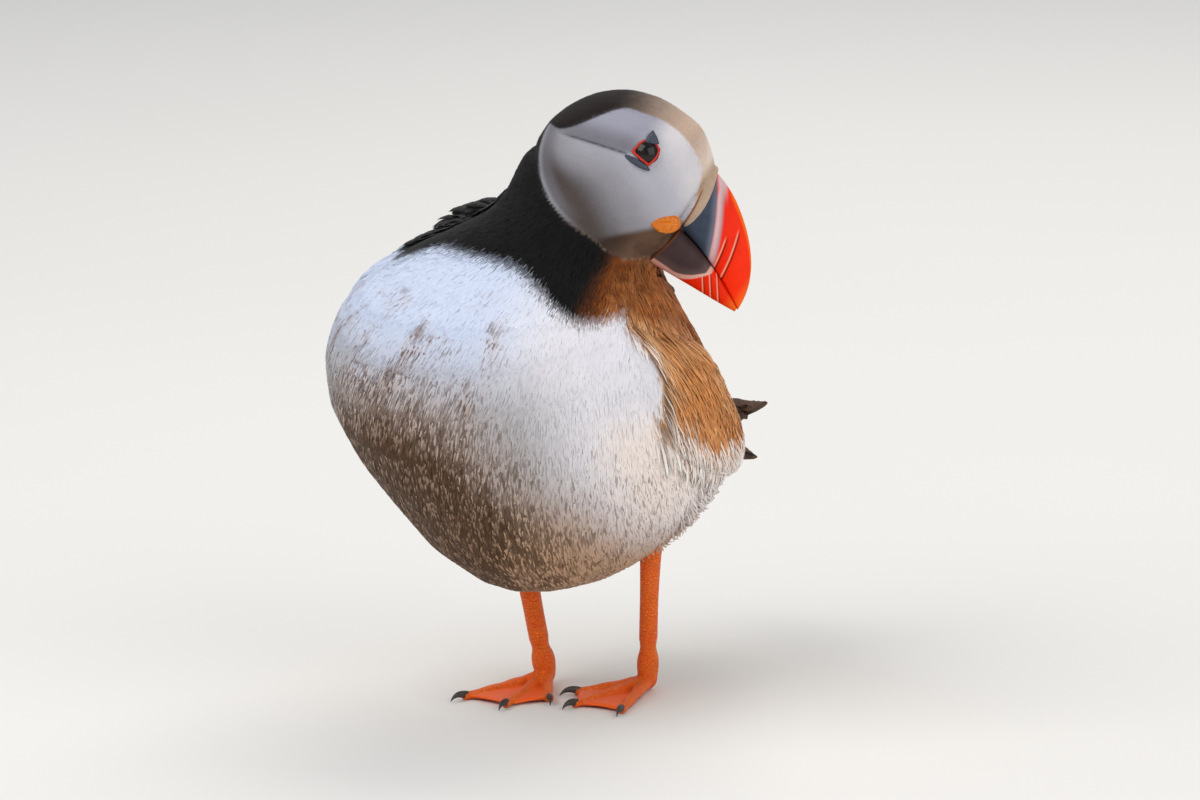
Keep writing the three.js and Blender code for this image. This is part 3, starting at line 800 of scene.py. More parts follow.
    def side_colours(self, bird: Array) -> Array:
        """Colours of the wings and the soft flanks."""
        x, y, z = bird.T
        front = y - self.side_front(z, self.right_share(x))
        inward = smooth(front, 0.0, 8.0)
        streak = smooth(grain(bird * [1, 0.3, 1], 2.0, 3.0), -0.3, 0.4)
        broad = smooth(grain(bird * [1, 0.4, 1], 7.0, 4.0), -0.3, 0.4)
        low = smooth(z - self.side_foot(y), 12.0, 2.0)
        grey = smooth(inward, 0.9, 0.1) * smooth(grain(bird * [1, 1, 0.4], 4.0, 6.0), -0.4, 0.4)
        buff = painted(flat_colour(self.flank_pale, bird),
                       (self.flank, inward),
                       (self.flank_pale, smooth(grain(bird * [1, 0.5, 1], 5.0, 9.0), 0.0, 0.5) * 0.5),
                       (self.flank_pale, bell(z - self.wing_foot(y), 0.0, 4.0) * 0.55),
                       (self.flank_deep, streak * broad * 0.7 * inward),
                       (self.flank_deep, low * streak * 0.6),
                       (self.flank_grey, grey * 0.7),
                       # Painted shade: the buff flank greys on the bird's right side.
                       (self.breast_shade, smooth(x, -5.0, -25.0) * 0.6))
        wing = painted(flat_colour(self.wing, bird),
                       (self.wing_light, streak * 0.45),
                       (self.mantle, smooth(x, 22.0, 3.0)),
                       (self.mantle, smooth(y, 5.0, 30.0) * 0.8))
        made = blend(buff, wing, smooth(z - self.wing_foot(y), -3.0, 4.0))
        throat = smooth(x, 24.0, 32.0) * smooth(z, 143.0, 148.0)
        # A painted shadow line just behind the collar's pale edge, where collar and wing meet.
        return painted(made, (self.mantle, bell(front, 3.4, 1.4) * throat * 0.7),
                       (self.collar_edge, bell(front, 0.4, 1.3) * throat * 0.8))

    def colours(self, points: Array, edge: float, ragged: Array | None = None,
                luck: Array | None = None) -> Array:
        """The plumage colour at points in metres.

        Args:
            points: places on the skin.
            edge: half width of each border, in millimetres.
            ragged: shift of each point before its border is tested, in millimetres.
            luck: a number from 0 to 1 per point that settles whether it is stained brown, a brown that also
                carries painted shade.

        Returns:
            One linear colour per point.
        """
        bird = HEAD.bird(points) + (0 if ragged is None else ragged)
        head = HEAD.inside(points) + (0 if ragged is None else ragged * 0.5)
        x, y, z = bird.T
        share = self.stain_and_shade_share(bird)
        # Painted light and shade over the white: brighter towards the bird's left side and warm low there,
        # grey on the lower breast and at the far right edge.
        made = painted(flat_colour(self.breast, points),
                       (self.breast_lit_front, smooth(x, 4.0, 34.0)),
                       (self.breast_shade, smooth(z, 142.0, 104.0) * smooth(x, 44.0, 20.0) * 0.85),
                       (self.breast_lit_warm, smooth(x, 36.0, 48.0) * smooth(z, 114.0, 98.0)),
                       (self.breast_far_shade, smooth(x, -34.0, -48.0) * smooth(z, 136.0, 118.0) * 0.7),
                       (self.belly, smooth(z, 94.0, 52.0) * smooth(x, 49.0, 26.0) * 0.95),
                       (self.belly, share * 0.75))
        # Stained tufts take the dark brown, which also carries painted shade.
        stained_and_shaded = share * 0.9 if luck is None else (luck < share) * (0.75 + 0.25 * luck / (share + 0.01))
        made = painted(made, (self.stain_and_shade, np.clip(stained_and_shaded * (0.5 + 0.6 * share), 0, 0.96)))
        made = blend(made, self.side_colours(bird), self.side_mask(bird, edge))
        dark = self.dark_mask(bird, edge)
        warm = smooth(x, 30.0, 38.0) * smooth(z, 168.0, 158.0)
        mottle = smooth(grain(bird, 3.0, 8.0), -0.5, 0.5)
        light = warm * mottle * smooth(x, 34.0, 40.0) * smooth(z, 158.0, 149.0)
        black = painted(flat_colour(self.collar, points),
                        (self.collar_warm, warm * smooth(y, -16.0, -32.0) * (0.6 + 0.4 * mottle)),
                        (self.collar_edge, light * 0.5))
        made = blend(made, black, dark)
        narrow = smooth(np.abs(head[:, 1]), 15.0, 11.0)
        reach = head_reach(head) - 5.0 * smooth(head[:, 0], 2.0, 18.0) * narrow
        on_head = smooth(reach, 33.8, 31.8)
        face_colours, face = self.head_colours(head)
        near_face = on_head * np.maximum(face, smooth(head[:, 2], -4.0, 2.0))
        return blend(made, face_colours, near_face)


MARKINGS = Markings()
MANTLE_HUMP = (-33.0, -13.0, 165.0)


def hump(bird: Array) -> Array:
    """1 where the mantle is fluffed up behind the neck, on the bird's right."""
    return bell(np.linalg.norm(bird - np.array(MANTLE_HUMP), axis=1), 0.0, 15.0)


# ---- Skin --------------------------------------------------------------------------------------

def smoothed(name: str, mesh: bpy.types.Mesh, voxel: float, rounds: int) -> bpy.types.Mesh:
    """Grows overlapping closed shapes into one skin and softens it."""
    rough = bpy.data.objects.new(name, mesh)
    bpy.context.collection.objects.link(rough)
    remesh = rough.modifiers.new("whole", "REMESH")
    remesh.mode = "VOXEL"
    remesh.voxel_size = voxel
    soften = rough.modifiers.new("soften", "SMOOTH")
    soften.factor = 0.5
    soften.iterations = rounds
    made = evaluated(rough)
    bpy.data.objects.remove(rough)
    made.name = name
    made.materials.clear()
    return made


@dataclass
class Skin:
    """One closed skin in place of the flesh, lying under the plumage."""

    nodes: tuple[str, ...] = ("head", "neck", "trunk", "wing_left", "wing_right")
    bill_nodes: tuple[str, ...] = ("bill_upper", "bill_lower", "cere")
    overlap: float = 0.0005
    bill_sink: float = 0.0006
    bill_cut: float = 29.0
    bill_foot: float = -22.4
    voxel: float = 0.00118
    smoothing: int = 12
    head_smoothing: int = 4
    trunk_depth: float = 0.0020
    breast_depth: float = 0.0007
    head_depth: float = 0.0007
    quill_depth: float = 0.0006
    plug_proud: float = -0.4
    plug_half: tuple[float, float, float] = (6.0, 3.0, 6.0)

    def joined(self) -> bpy.types.Mesh:
        """Copies of the flesh grown until they overlap, with the bill's root to lead the face into it."""
        made = bmesh.new()
        for names, grow in ((self.nodes, self.overlap), (self.bill_nodes, -self.bill_sink)):
            for name in names:
                part = bmesh.new()
                part.from_mesh(bpy.data.objects[name].data)
                bmesh.ops.remove_doubles(part, verts=part.verts, dist=SAME_PLACE)
                part.normal_update()
                for vertex in part.verts:
                    vertex.co += vertex.normal * grow
                made.from_mesh(as_mesh(name + "_copy", part))
        for side in ("left", "right"):
            centre = HEAD.inside(np.array(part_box(f"eye_{side}")).mean(axis=0)[None])[0]
            centre[1] += math.copysign(self.plug_proud, centre[1])
            plug = bmesh.new()
            bmesh.ops.create_icosphere(plug, subdivisions=4, radius=1.0)
            for vertex in plug.verts:
                vertex.co = HEAD.outside(centre + np.array(vertex.co) * self.plug_half)
            bmesh.ops.recalc_face_normals(plug, faces=plug.faces)
            made.from_mesh(as_mesh("socket_plug", plug))
        return as_mesh("joined_flesh", made)

    def refined(self, mesh: bpy.types.Mesh) -> bpy.types.Mesh:
        """Cuts the bill's length away and gives the head a finer mesh."""
        made = bmesh.new()
        made.from_mesh(mesh)
        local = HEAD.inside(np.array([v.co for v in made.verts]))
        reach = np.where(local[:, 2] > -19.5, 16.0, 8.0)
        bill = (local[:, 0] > 20) & (local[:, 2] > self.bill_foot) & (np.abs(local[:, 1]) < reach)
        faces = [f for f in made.faces if all(bill[v.index] for v in f.verts)]
        # Kept in the order of the faces, so that every run cuts the same mesh in the same way.
        edges = dict.fromkeys(e for f in faces for e in f.edges)
        verts = dict.fromkeys(v for f in faces for v in f.verts)
        cut = bmesh.ops.bisect_plane(
            made, geom=[*verts, *edges, *faces], plane_co=Vector(HEAD.outside([self.bill_cut, 0.0, 0.0])),
            plane_no=Vector(HEAD.axes()[:, 0]), clear_outer=True)
        rim = [e for e in cut["geom_cut"] if isinstance(e, bmesh.types.BMEdge)]
        bmesh.ops.holes_fill(made, edges=rim, sides=0)
        points = np.array([v.co for v in made.verts])
        near = np.linalg.norm(HEAD.inside(points) + [-2, 0, 1], axis=1) < 31.0
        edges = [e for e in made.edges if near[e.verts[0].index] and near[e.verts[1].index]]
        bmesh.ops.subdivide_edges(made, edges=edges, cuts=1, use_grid_fill=True)
        points = np.array([v.co for v in made.verts])
        near = np.linalg.norm(HEAD.inside(points) + [-2, 0, 1], axis=1) < 30.0
        head = [v for v, inside in zip(made.verts, near) if inside]
        for _ in range(self.head_smoothing):
            bmesh.ops.smooth_vert(made, verts=head, factor=0.5, use_axis_x=True, use_axis_y=True,
                                  use_axis_z=True)
        return as_mesh("skin", made)

    def depth(self, points: Array) -> Array:
        """How deep the skin lies under the outline of the coat."""
        reach = head_reach(HEAD.inside(points))
        bird = HEAD.bird(points)
        smooth_coat = np.maximum(1 - MARKINGS.side_mask(bird, 4.0), hump(bird))
        trunk = self.trunk_depth + (self.breast_depth - self.trunk_depth) * smooth_coat
        depth = trunk + (self.head_depth - trunk) * smooth(reach, 42.0, 27.0)
        return depth + (self.quill_depth - depth) * smooth(bird[:, 1], 44.0, 54.0)

    def sculpt(self, points: Array) -> Array:
        """How far the face is pushed in, in metres: furrow, brow, cheeks and the eye's hollow."""
        x, y, z = HEAD.inside(points).T
        line = z - (3.2 + 0.29 * x)
        length = smooth(x, 1.0, -2.5) * smooth(x, -25.0, -19.0)
        furrow = bell(line, 0.0, 0.75) * length * 1.5
        brow = smooth(line, 0.0, 1.5) * smooth(line, 9.0, 3.0) * length * 0.55
        cheek = bell(np.hypot((x + 8.0) / 1.4, z + 5.0), 0.0, 7.5) * smooth(line, 0.3, -1.2) * 0.9
        lores = bell(np.hypot(x - 15.0, z - 3.0), 0.0, 7.0) * 0.4
        socket = bell(np.hypot(x - HEAD.eye_x, z - HEAD.eye_z), 0.0, 4.4) * 0.3
        beside = smooth(np.abs(y), 5.0, 10.0)
        brim = smooth(x, 19.0, 25.5) * smooth(z, -26.0, -19.0) * smooth(z, 17.0, 10.0) * 1.1
        rise = 0.4 * smooth(x, -8.0, 0.0) + 0.8 * smooth(x, 5.0, 15.0)
        brim = brim + rise * smooth(x, 29.0, 24.0) * smooth(z, 6.0, 17.0)
        chin = bell(np.hypot((x - 15.0) / 1.5, z + 22.0), 0.0, 5.0) * 0.9
        face = (furrow + brow + socket - cheek - lores - chin) * beside - brim
        _, y, z = HEAD.bird(points).T
        above = z - MARKINGS.wing_foot(y)
        tuck = bell(above, 6.0, 5.0) * 1.6 - smooth(above, 1.0, -4.0) * smooth(above, -24.0, -10.0) * 0.9
        outer = smooth(np.abs(HEAD.bird(points)[:, 0]), 34.0, 42.0)
        return (face + tuck * outer * smooth(y, -42.0, -26.0) * smooth(y, 30.0, 12.0)) * MM

    def build(self) -> bpy.types.Object:
        """Remeshes the flesh into one skin and paints it."""
        mesh = self.refined(smoothed("skin_base", self.joined(), self.voxel, self.smoothing))
        points = vertices_of(mesh)
        depth = self.depth(points) + self.overlap + self.sculpt(points)
        points = points - normals_of(mesh) * depth[:, None]
        move_vertices(mesh, points)
        mesh.update()
        # The skin is painted a little darker than the feathers: painted shade in the gaps between the tufts.
        write_attribute(mesh, "Tint", MARKINGS.colours(points, 0.8) * 0.95)
        return add_piece("skin", mesh, PlumageFinish("skin_down").material(), Slot.WHITE, self.nodes)


class SkinMap:
    """The finished skin as arrays: places to root feathers, and the nearest skin to any point."""

    def __init__(self, piece: bpy.types.Object) -> None:
        """Reads the piece's mesh."""
        mesh = piece.data
        mesh.calc_loop_triangles()
        corners = np.empty(len(mesh.loop_triangles) * 3, np.int32)
        mesh.loop_triangles.foreach_get("vertices", corners)
        self.corners = corners.reshape(-1, 3)
        self.points = vertices_of(mesh)
        self.normals = normals_of(mesh)
        spread = self.points[self.corners]
        cross = np.cross(spread[:, 1] - spread[:, 0], spread[:, 2] - spread[:, 0])
        self.areas = np.linalg.norm(cross, axis=1) / 2
        self.centres = spread.mean(axis=1)
        self.tree = BVHTree.FromPolygons(self.points.tolist(), self.corners.tolist())

    def scatter(self, weight: Array, count: int, rng: np.random.Generator) -> tuple[Array, Array]:
        """Random places on the skin, crowded as the weight of each triangle says."""
        chance = self.areas * weight
        picked = rng.choice(len(chance), count, p=chance / chance.sum())
        shares = rng.dirichlet((1, 1, 1), count)
        corners = self.corners[picked]
        places = np.einsum("nk,nkc->nc", shares, self.points[corners])
        normals = unit(np.einsum("nk,nkc->nc", shares, self.normals[corners]))
        return places, normals

    def nearest(self, points: Array) -> tuple[Array, Array]:
        """The nearest skin to each point, and its normal."""
        found = [self.tree.find_nearest(Vector(p)) for p in points]
        return np.array([f[0] for f in found]), np.array([f[1] for f in found])


# ---- Feathers ----------------------------------------------------------------------------------

@dataclass(frozen=True)
class Vane:
    """The outline of one feather or lock: half widths and ridge heights at steps along it."""

    steps: tuple[float, ...]
    widths: tuple[float, ...]
    ridges: tuple[float, ...]


DART = Vane((0.0,), (1.0,), (1.0,))
SHORT = Vane((0.0, 0.5), (0.75, 1.0), (0.7, 1.0))
LOCK = Vane((0.0, 0.4, 0.75), (0.6, 1.0, 0.65), (0.6, 1.0, 0.6))
CONTOUR = Vane((0.0, 0.25, 0.6, 0.85), (0.45, 0.9, 1.0, 0.62), (0.5, 1.0, 0.8, 0.4))
QUILL = Vane((0.0, 0.12, 0.4, 0.7, 0.88, 0.96), (0.25, 0.75, 1.0, 0.92, 0.62, 0.34),
             (1.0, 1.0, 0.8, 0.5, 0.3, 0.2))


class Feathers:
    """Joined closed locks or vanes, each a three-sided blade along a bent midline."""

    def __init__(self, vane: Vane, roundness: float = 0.35, depth_shade: tuple[float, float] = (0.9, 1.04)) -> None:
        """Starts an empty set.

        Args:
            vane: the outline that every feather shares.
            roundness: how far the shading leans to each side of the ridge.
            depth_shade: brightness at root and tip; the darker roots are painted shade under the overlapping
                feathers.
        """
        self.vane = vane
        self.roundness = roundness
        self.depth_shade = depth_shade
        self.rows: list[dict[str, Array]] = []

    def add(self, bend: tuple[Array, Array, Array], across: Array, up: tuple[Array, Array],
            width: Array, ridge: Array, tint: tuple[Array, Array], unwrap: Array) -> None:
        """Adds feathers.

        Args:
            bend: root, middle handle and tip of each midline.
            across: direction of each feather's width.
            up: directions that its root and its tip face.
            width: half widths, in metres.
            ridge: heights of the midrib, in metres.
            tint: linear colours at root and tip.
            unwrap: each root's place on the skin's unwrap, from 0 to 1.
        """
        self.rows.append({"start": bend[0], "handle": bend[1], "tip": bend[2], "across": across,
                          "up": up[0], "tip_up": up[1], "width": width, "ridge": ridge,
                          "tint": tint[0], "tip_tint": tint[1], "unwrap": unwrap})

    def build(self, name: str, material: bpy.types.Material, slot: Slot,
              replaced: Sequence[str] = ()) -> bpy.types.Object:
        """Joins the feathers into one mesh piece."""
        data = {key: np.concatenate([row[key] for row in self.rows]) for key in self.rows[0]}
        count = len(data["start"])
        levels = len(self.vane.steps)
        ring = 3 * levels
        points = np.empty((count, ring + 1, 3))
        lean = np.empty((count, ring + 1, 3))
        tints = np.empty((count, ring + 1, 3))
        patch = np.empty((count, ring + 1, 2))
        dark, bright = self.depth_shade
        for level, step in enumerate(self.vane.steps):
            middle = (data["start"] * (1 - step) ** 2 + data["handle"] * 2 * step * (1 - step)
                      + data["tip"] * step ** 2)
            half = data["across"] * (data["width"] * self.vane.widths[level])[:, None]
            rise = data["up"] * (data["ridge"] * self.vane.ridges[level])[:, None]
            for corner, place in enumerate((middle - half, middle + rise, middle + half)):
                at = level * 3 + corner
                points[:, at] = place
                lean[:, at] = (data["up"] * (1 - step) + data["tip_up"] * step
                               + data["across"] * (corner - 1) * self.roundness)
                # Painted shade: each feather darkens towards its root, where others cover it.
                tints[:, at] = ((data["tint"] * (1 - step) + data["tip_tint"] * step)
                                * (dark + (bright - dark) * step))
                patch[:, at] = (corner / 2 - 0.5, step - 0.5)
        points[:, ring] = data["tip"]
        lean[:, ring] = data["tip_up"]
        tints[:, ring] = data["tip_tint"] * bright
        patch[:, ring] = (0.0, 0.5)
        template, is_top = self.template(levels)
        faces = [tuple(k * (ring + 1) + c for c in face) for k in range(count) for face in template]
        mesh = bpy.data.meshes.new(name)
        mesh.from_pydata(points.reshape(-1, 3).tolist(), [], faces)
        mesh.polygons.foreach_set("use_smooth", np.ones(len(mesh.polygons), bool))
        write_attribute(mesh, "Tint", np.clip(tints, 0, 1).reshape(-1, 3))
        self.write_bake_map(mesh, data["unwrap"][:, None] + patch * 0.003)
        corners = np.array([c for face in template for c in face])
        top = np.array([flag for face, flag in zip(template, is_top) for _ in face])
        soft = unit(lean)[:, corners] * top[None, :, None]
        mesh.normals_split_custom_set(soft.reshape(-1, 3).astype(np.float32))
        return add_piece(name, mesh, material, slot, replaced)

    @staticmethod
    def template(levels: int) -> tuple[list[tuple[int, ...]], list[bool]]:
        """Corner numbers of one feather's faces, all turned outwards, and which ones face up."""
        faces: list[tuple[int, ...]] = [(0, 1, 2)]
        is_top = [False]
        for level in range(levels - 1):
            low, high = level * 3, level * 3 + 3
            faces += [(low + b, low + a, high + a, high + b) for a, b in ((0, 1), (1, 2), (2, 0))]
            is_top += [True, True, False]
        last, tip = (levels - 1) * 3, levels * 3
        faces += [(last + b, last + a, tip) for a, b in ((0, 1), (1, 2), (2, 0))]
        return faces, is_top + [True, True, False]

    @staticmethod
    def write_bake_map(mesh: bpy.types.Mesh, unwrap: Array) -> None:
        """Stores each feather as a small patch at its root's place on the skin's unwrap."""
        corners = np.empty(len(mesh.loops), np.int32)
        mesh.loops.foreach_get("vertex_index", corners)
        layer = mesh.uv_layers.new(name="OFBake")
        places = unwrap.reshape(-1, 2)[corners]
        layer.data.foreach_set("uv", np.clip(places, 0, 1).astype(np.float32).ravel())


@dataclass(frozen=True)
class Coat:
    """One kind of plumage over one region of the skin."""

    name: str
    slot: Slot
    count: int
    length: float
    width: float
    ridge: float
    lift: float
    region: Callable[[Array, Array], Array]
    vane: Vane = SHORT
    edge: float = 0.7
    spread: float = 0.10
    droop: float = 0.0
    variety: float = 0.04
    ragged: float = 0.9
    # Brightness at root and tip; the darker roots are painted shade under the overlapping feathers.
    depth_shade: tuple[float, float] = (0.92, 1.03)
    roundness: float = 0.3
    shrink: float = 0.5
    crowd: float = 1.5
    hold: float = 0.0
    fan: float = 0.0
    fluff: float = 0.0
    seed: int = 1

    def lie(self, places: Array) -> Array:
        """The way feathers lie: back from the bill, down the neck, breast and back, on to the tail."""
        spine = np.array(SPINE)
        middles, steps = (spine[1:] + spine[:-1]) / 2, unit(spine[1:] - spine[:-1])
        bird = HEAD.bird(places)
        away = np.linalg.norm(bird[:, None] - middles[None], axis=2)
        share = 1 / away ** 3
        down = (share / share.sum(axis=1, keepdims=True)) @ steps
        body = down + unit(bird - np.array(THROAT)) * 0.45 + unit(bird - np.array(FLANK_ROOT)) * self.fan
        ray = (HEAD.inside(places) - np.array([44.0, 0.0, 0.0])) * [1.0, 0.3, 1.0]
        face = unit(ray) @ HEAD.axes().T
        near = smooth(np.linalg.norm(HEAD.inside(places), axis=1), 25.0, 40.0)[:, None]
        return face * (1 - near) + body * near + np.array([0, 0, -self.droop])

    def unwrap(self, places: Array) -> Array:
        """Each root's place on an equal-area unwrap of the region round its own middle."""
        middle = (places.min(axis=0) + places.max(axis=0)) / 2
        ray = unit(places - middle)
        flat = np.stack([np.arctan2(ray[:, 0], -ray[:, 1]) / (2 * math.pi), ray[:, 2] / 2], axis=1)
        low, high = flat.min(axis=0), flat.max(axis=0)
        return 0.01 + 0.98 * (flat - low) / np.maximum(high - low, 1e-9)

    def build(self, skin: SkinMap, material: bpy.types.Material) -> bpy.types.Object:
        """Roots the feathers and lays them along the skin."""
        rng = np.random.default_rng(self.seed)
        mids = HEAD.bird(skin.centres), HEAD.inside(skin.centres)
        weight = self.region(*mids) * (1 + self.crowd * MARKINGS.fine_share(*mids))
        places, normals = skin.scatter(weight, self.count, rng)
        flow = self.lie(places)
        bird = HEAD.bird(places)
        swirl = np.stack([grain(bird, 14.0, self.seed + k) for k in (1, 2, 3)], axis=1)
        flow = flow + swirl * self.spread * 1.5 + rng.normal(0, self.spread, places.shape)
        along = unit(flow - normals * (flow * normals).sum(axis=1, keepdims=True))
        fine = MARKINGS.fine_share(bird, HEAD.inside(places))
        size = rng.uniform(0.75, 1.25, self.count) * (1 - self.shrink * fine)
        length = self.length * size * MM
        tips, tip_normals = skin.nearest(places + along * length[:, None])
        lift = (self.lift + self.fluff * hump(bird)) * MM * rng.uniform(0.3, 1.5, self.count)
        tips = tips + tip_normals * lift[:, None]
        start = places - normals * (0.2 * MM)
        handle = (start + tips) / 2 + normals * (lift * 0.7 + 0.06 * length)[:, None]
        noise_shift = rng.normal(0, self.ragged, places.shape)
        vary = rng.normal(1.0, self.variety, self.count)[:, None]
        luck = rng.random(self.count)
        root_tint = MARKINGS.colours(places, self.edge, noise_shift, luck * 1.4) * vary
        tip_tint = MARKINGS.colours(tips, self.edge, noise_shift, luck) * vary
        from_body = smooth(head_reach(HEAD.inside(places)), 35.0, 37.0)
        strayed = from_body * smooth(head_reach(HEAD.inside(tips)), 37.0, 34.0)
        tip_tint = blend(tip_tint, root_tint, np.maximum(fine * self.hold, strayed))
        across = unit(np.cross(normals, along))
        feathers = Feathers(self.vane, self.roundness, self.depth_shade)
        feathers.add((start, handle, tips), across, (normals, tip_normals), self.width * MM / 2 * size,
                     self.ridge * MM * size, (root_tint, tip_tint), self.unwrap(places))
        return feathers.build(self.name, material, self.slot)


SPINE = ((21, -22, 190), (17, -24, 180), (9, -28, 169), (-2, -32, 157), (-8, -35, 142), (-12, -34, 124),
         (-11, -25, 107), (-7, -5, 93), (-3, 20, 85), (0, 42, 79), (1, 56, 77), (1, 88, 59))
THROAT = (14.0, -34.0, 172.0)
FLANK_ROOT = (34.0, -76.0, 150.0)


def head_reach(head: Array) -> Array:
    """Distance from the middle of the head, in millimetres."""
    return np.linalg.norm(head + [1, 0, 1], axis=1)


def face_region(head: Array) -> Array:
    """The whole feathered head, without the eyes and the bill."""
    x, y, z = head.T
    shape = BillShape
    eye = (np.hypot(x - HEAD.eye_x, z - HEAD.eye_z) < 4.0) & (np.abs(y) > 8)
    return (head_reach(head) < 32.5) * ~eye * (x < shape.feather_border(z) + 0.1) * 1.0


def left_face(bird: Array, head: Array) -> Array:
    """The head's left side."""
    return face_region(head) * (head[:, 1] > 0) * smooth(head[:, 2], 24.0, 20.0)


def right_face(bird: Array, head: Array) -> Array:
    """The head's right side."""
    return face_region(head) * (head[:, 1] <= 0) * smooth(head[:, 2], 24.0, 20.0)


def crown(bird: Array, head: Array) -> Array:
    """The top and the back of the head."""
    x, y, z = head.T
    return face_region(head) * np.maximum(z > MARKINGS.cap_height(x) - 1.5, np.abs(y) < 9)


def neck_region(bird: Array, head: Array) -> Array:
    """The neck and the black collar."""
    x, y, z = bird.T
    outside = (MARKINGS.face_reach(head) > 1.025) | (head_reach(head) > 41.0)
    outside = outside & ~((head[:, 0] > 6.0) & (head[:, 2] > -10.0) & (head_reach(head) < 45.0))
    throat = (MARKINGS.side_mask(bird, 1.0) < 0.6) | (head_reach(head) < 44.0)
    return ((head_reach(head) > 28.0) * outside * (z > MARKINGS.collar_height(x) - 1.0)
            * ((y < -12) | (head_reach(head) < 44.0)) * throat * 1.0)


def white_region(bird: Array) -> Array:
    """Everything white below the collar."""
    return (MARKINGS.side_mask(bird, 1.0) < 0.55) * (MARKINGS.dark_mask(bird, 1.0) < 0.8) * 1.0


def upper_breast(bird: Array, head: Array) -> Array:
    """The white breast down to the widest part of the body."""
    return white_region(bird) * smooth(bird[:, 2], 118.0, 124.0) * (bird[:, 1] < 0)


def lower_breast(bird: Array, head: Array) -> Array:
    """The soiled breast below the widest part."""
    _, y, z = bird.T
    return white_region(bird) * smooth(z, 124.0, 118.0) * (y < -22)


def belly(bird: Array, head: Array) -> Array:
    """Lower belly round the legs and under the tail."""
    _, y, z = bird.T
    return white_region(bird) * smooth(z, 124.0, 118.0) * (y >= -22) * (y < 60)


def vent_region(bird: Array, head: Array) -> Array:
    """Loose feathers that stand off behind the legs and below the flank."""
    x, y, z = bird.T
    behind = smooth(y, -18.0, 6.0) * smooth(z, 92.0, 84.0) * (y < 62)
    return white_region(bird) * behind * (0.35 + 0.65 * smooth(np.abs(x), 12.0, 26.0))


def flank_region(bird: Array, head: Array) -> Array:
    """The long soft feathers that overlap the folded wings from below."""
    x, y, z = bird.T
    behind = y - MARKINGS.side_front(z, MARKINGS.right_share(x))
    low = z - MARKINGS.wing_foot(y)
    return (smooth(behind, 0.0, 2.5) * smooth(low, 5.0, -2.0) * (np.abs(x) > 20)
            * (z > MARKINGS.side_foot(y) - 2) * smooth(y, 40.0, 22.0))


def wing_region(bird: Array, head: Array) -> Array:
    """The small feathers of the wing's shoulder."""
    x, y, z = bird.T
    low = z - MARKINGS.wing_foot(y)
    return (MARKINGS.side_mask(bird, 1.0) * smooth(low, -5.0, 0.0) * ((np.abs(x) > 26) | (z > 146)) * (y < 12)
            * (head_reach(head) > 42))


def back_region(bird: Array, head: Array) -> Array:
    """Mantle, back and rump."""
    x, y, z = bird.T
    throat = (x > 20) & (y < -12)
    mantle = (y > -34) * ~throat * (MARKINGS.dark_mask(bird, 1.0) > 0.5) * (head_reach(head) > 39)
    side = (MARKINGS.side_mask(bird, 1.0) > 0.5) * ((np.abs(x) < 34) | (y > 4)) * ((x < 22) | (z < 146))
    body = (y < 46) | (np.abs(x) < 18)
    return np.maximum(mantle, side) * smooth(z - MARKINGS.wing_foot(y), -6.0, 0.0) * body


COATS = (
    Coat("coat_face_left", Slot.CHEEK, 34000, 2.4, 0.34, 0.06, 0.08, left_face, DART, 0.3, 0.08,
         variety=0.03, ragged=0.2, depth_shade=(0.97, 1.02), shrink=0.72, crowd=2.5, seed=11),
    Coat("coat_face_right", Slot.CHEEK, 34000, 2.4, 0.34, 0.06, 0.08, right_face, DART, 0.3, 0.08,
         variety=0.03, ragged=0.2, depth_shade=(0.97, 1.02), shrink=0.72, crowd=2.5, seed=21),
    Coat("coat_crown", Slot.BLACK, 22000, 3.0, 0.38, 0.09, 0.2, crown, DART, 0.3, 0.1,
         variety=0.1, ragged=0.25, depth_shade=(0.75, 1.2), seed=22),
    Coat("coat_neck", Slot.BLACK, 18000, 4.4, 0.5, 0.11, 0.28, neck_region, seed=12, variety=0.1,
         ragged=0.5, depth_shade=(0.75, 1.15), hold=0.85),
    Coat("coat_breast_upper", Slot.WHITE, 19000, 5.8, 0.66, 0.05, 0.12, upper_breast, seed=13,
         variety=0.012, depth_shade=(0.98, 1.01), roundness=0.1, hold=0.85),
    Coat("coat_breast_lower", Slot.WHITE, 19000, 5.6, 0.66, 0.06, 0.16, lower_breast, seed=14,
         variety=0.02, depth_shade=(0.97, 1.01), roundness=0.12),
    Coat("coat_belly", Slot.WHITE, 14000, 7.5, 0.8, 0.12, 0.4, belly, seed=18, variety=0.03,
         spread=0.12, roundness=0.2),
    Coat("coat_vent", Slot.WHITE, 3600, 9.0, 0.55, 0.12, 1.9, vent_region, LOCK, seed=15, spread=0.16,
         roundness=0.4),
    Coat("coat_wing", Slot.BROWN, 7000, 8.0, 1.4, 0.2, 0.5, wing_region, LOCK, seed=19, variety=0.16,
         depth_shade=(0.55, 1.3), roundness=0.5),
    Coat("coat_back", Slot.BLACK, 5200, 11.0, 4.0, 0.3, 0.5, back_region, CONTOUR, seed=16,
         spread=0.05, variety=0.1, depth_shade=(0.7, 1.2), roundness=0.5, fluff=2.4),
    Coat("coat_flank", Slot.BROWN, 9000, 15.0, 0.9, 0.2, 1.9, flank_region, LOCK, seed=17, spread=0.16,
         droop=0.25, variety=0.12, ragged=1.0, depth_shade=(0.65, 1.25), roundness=0.45, fan=1.1),
)


# ---- Bill --------------------------------------------------------------------------------------

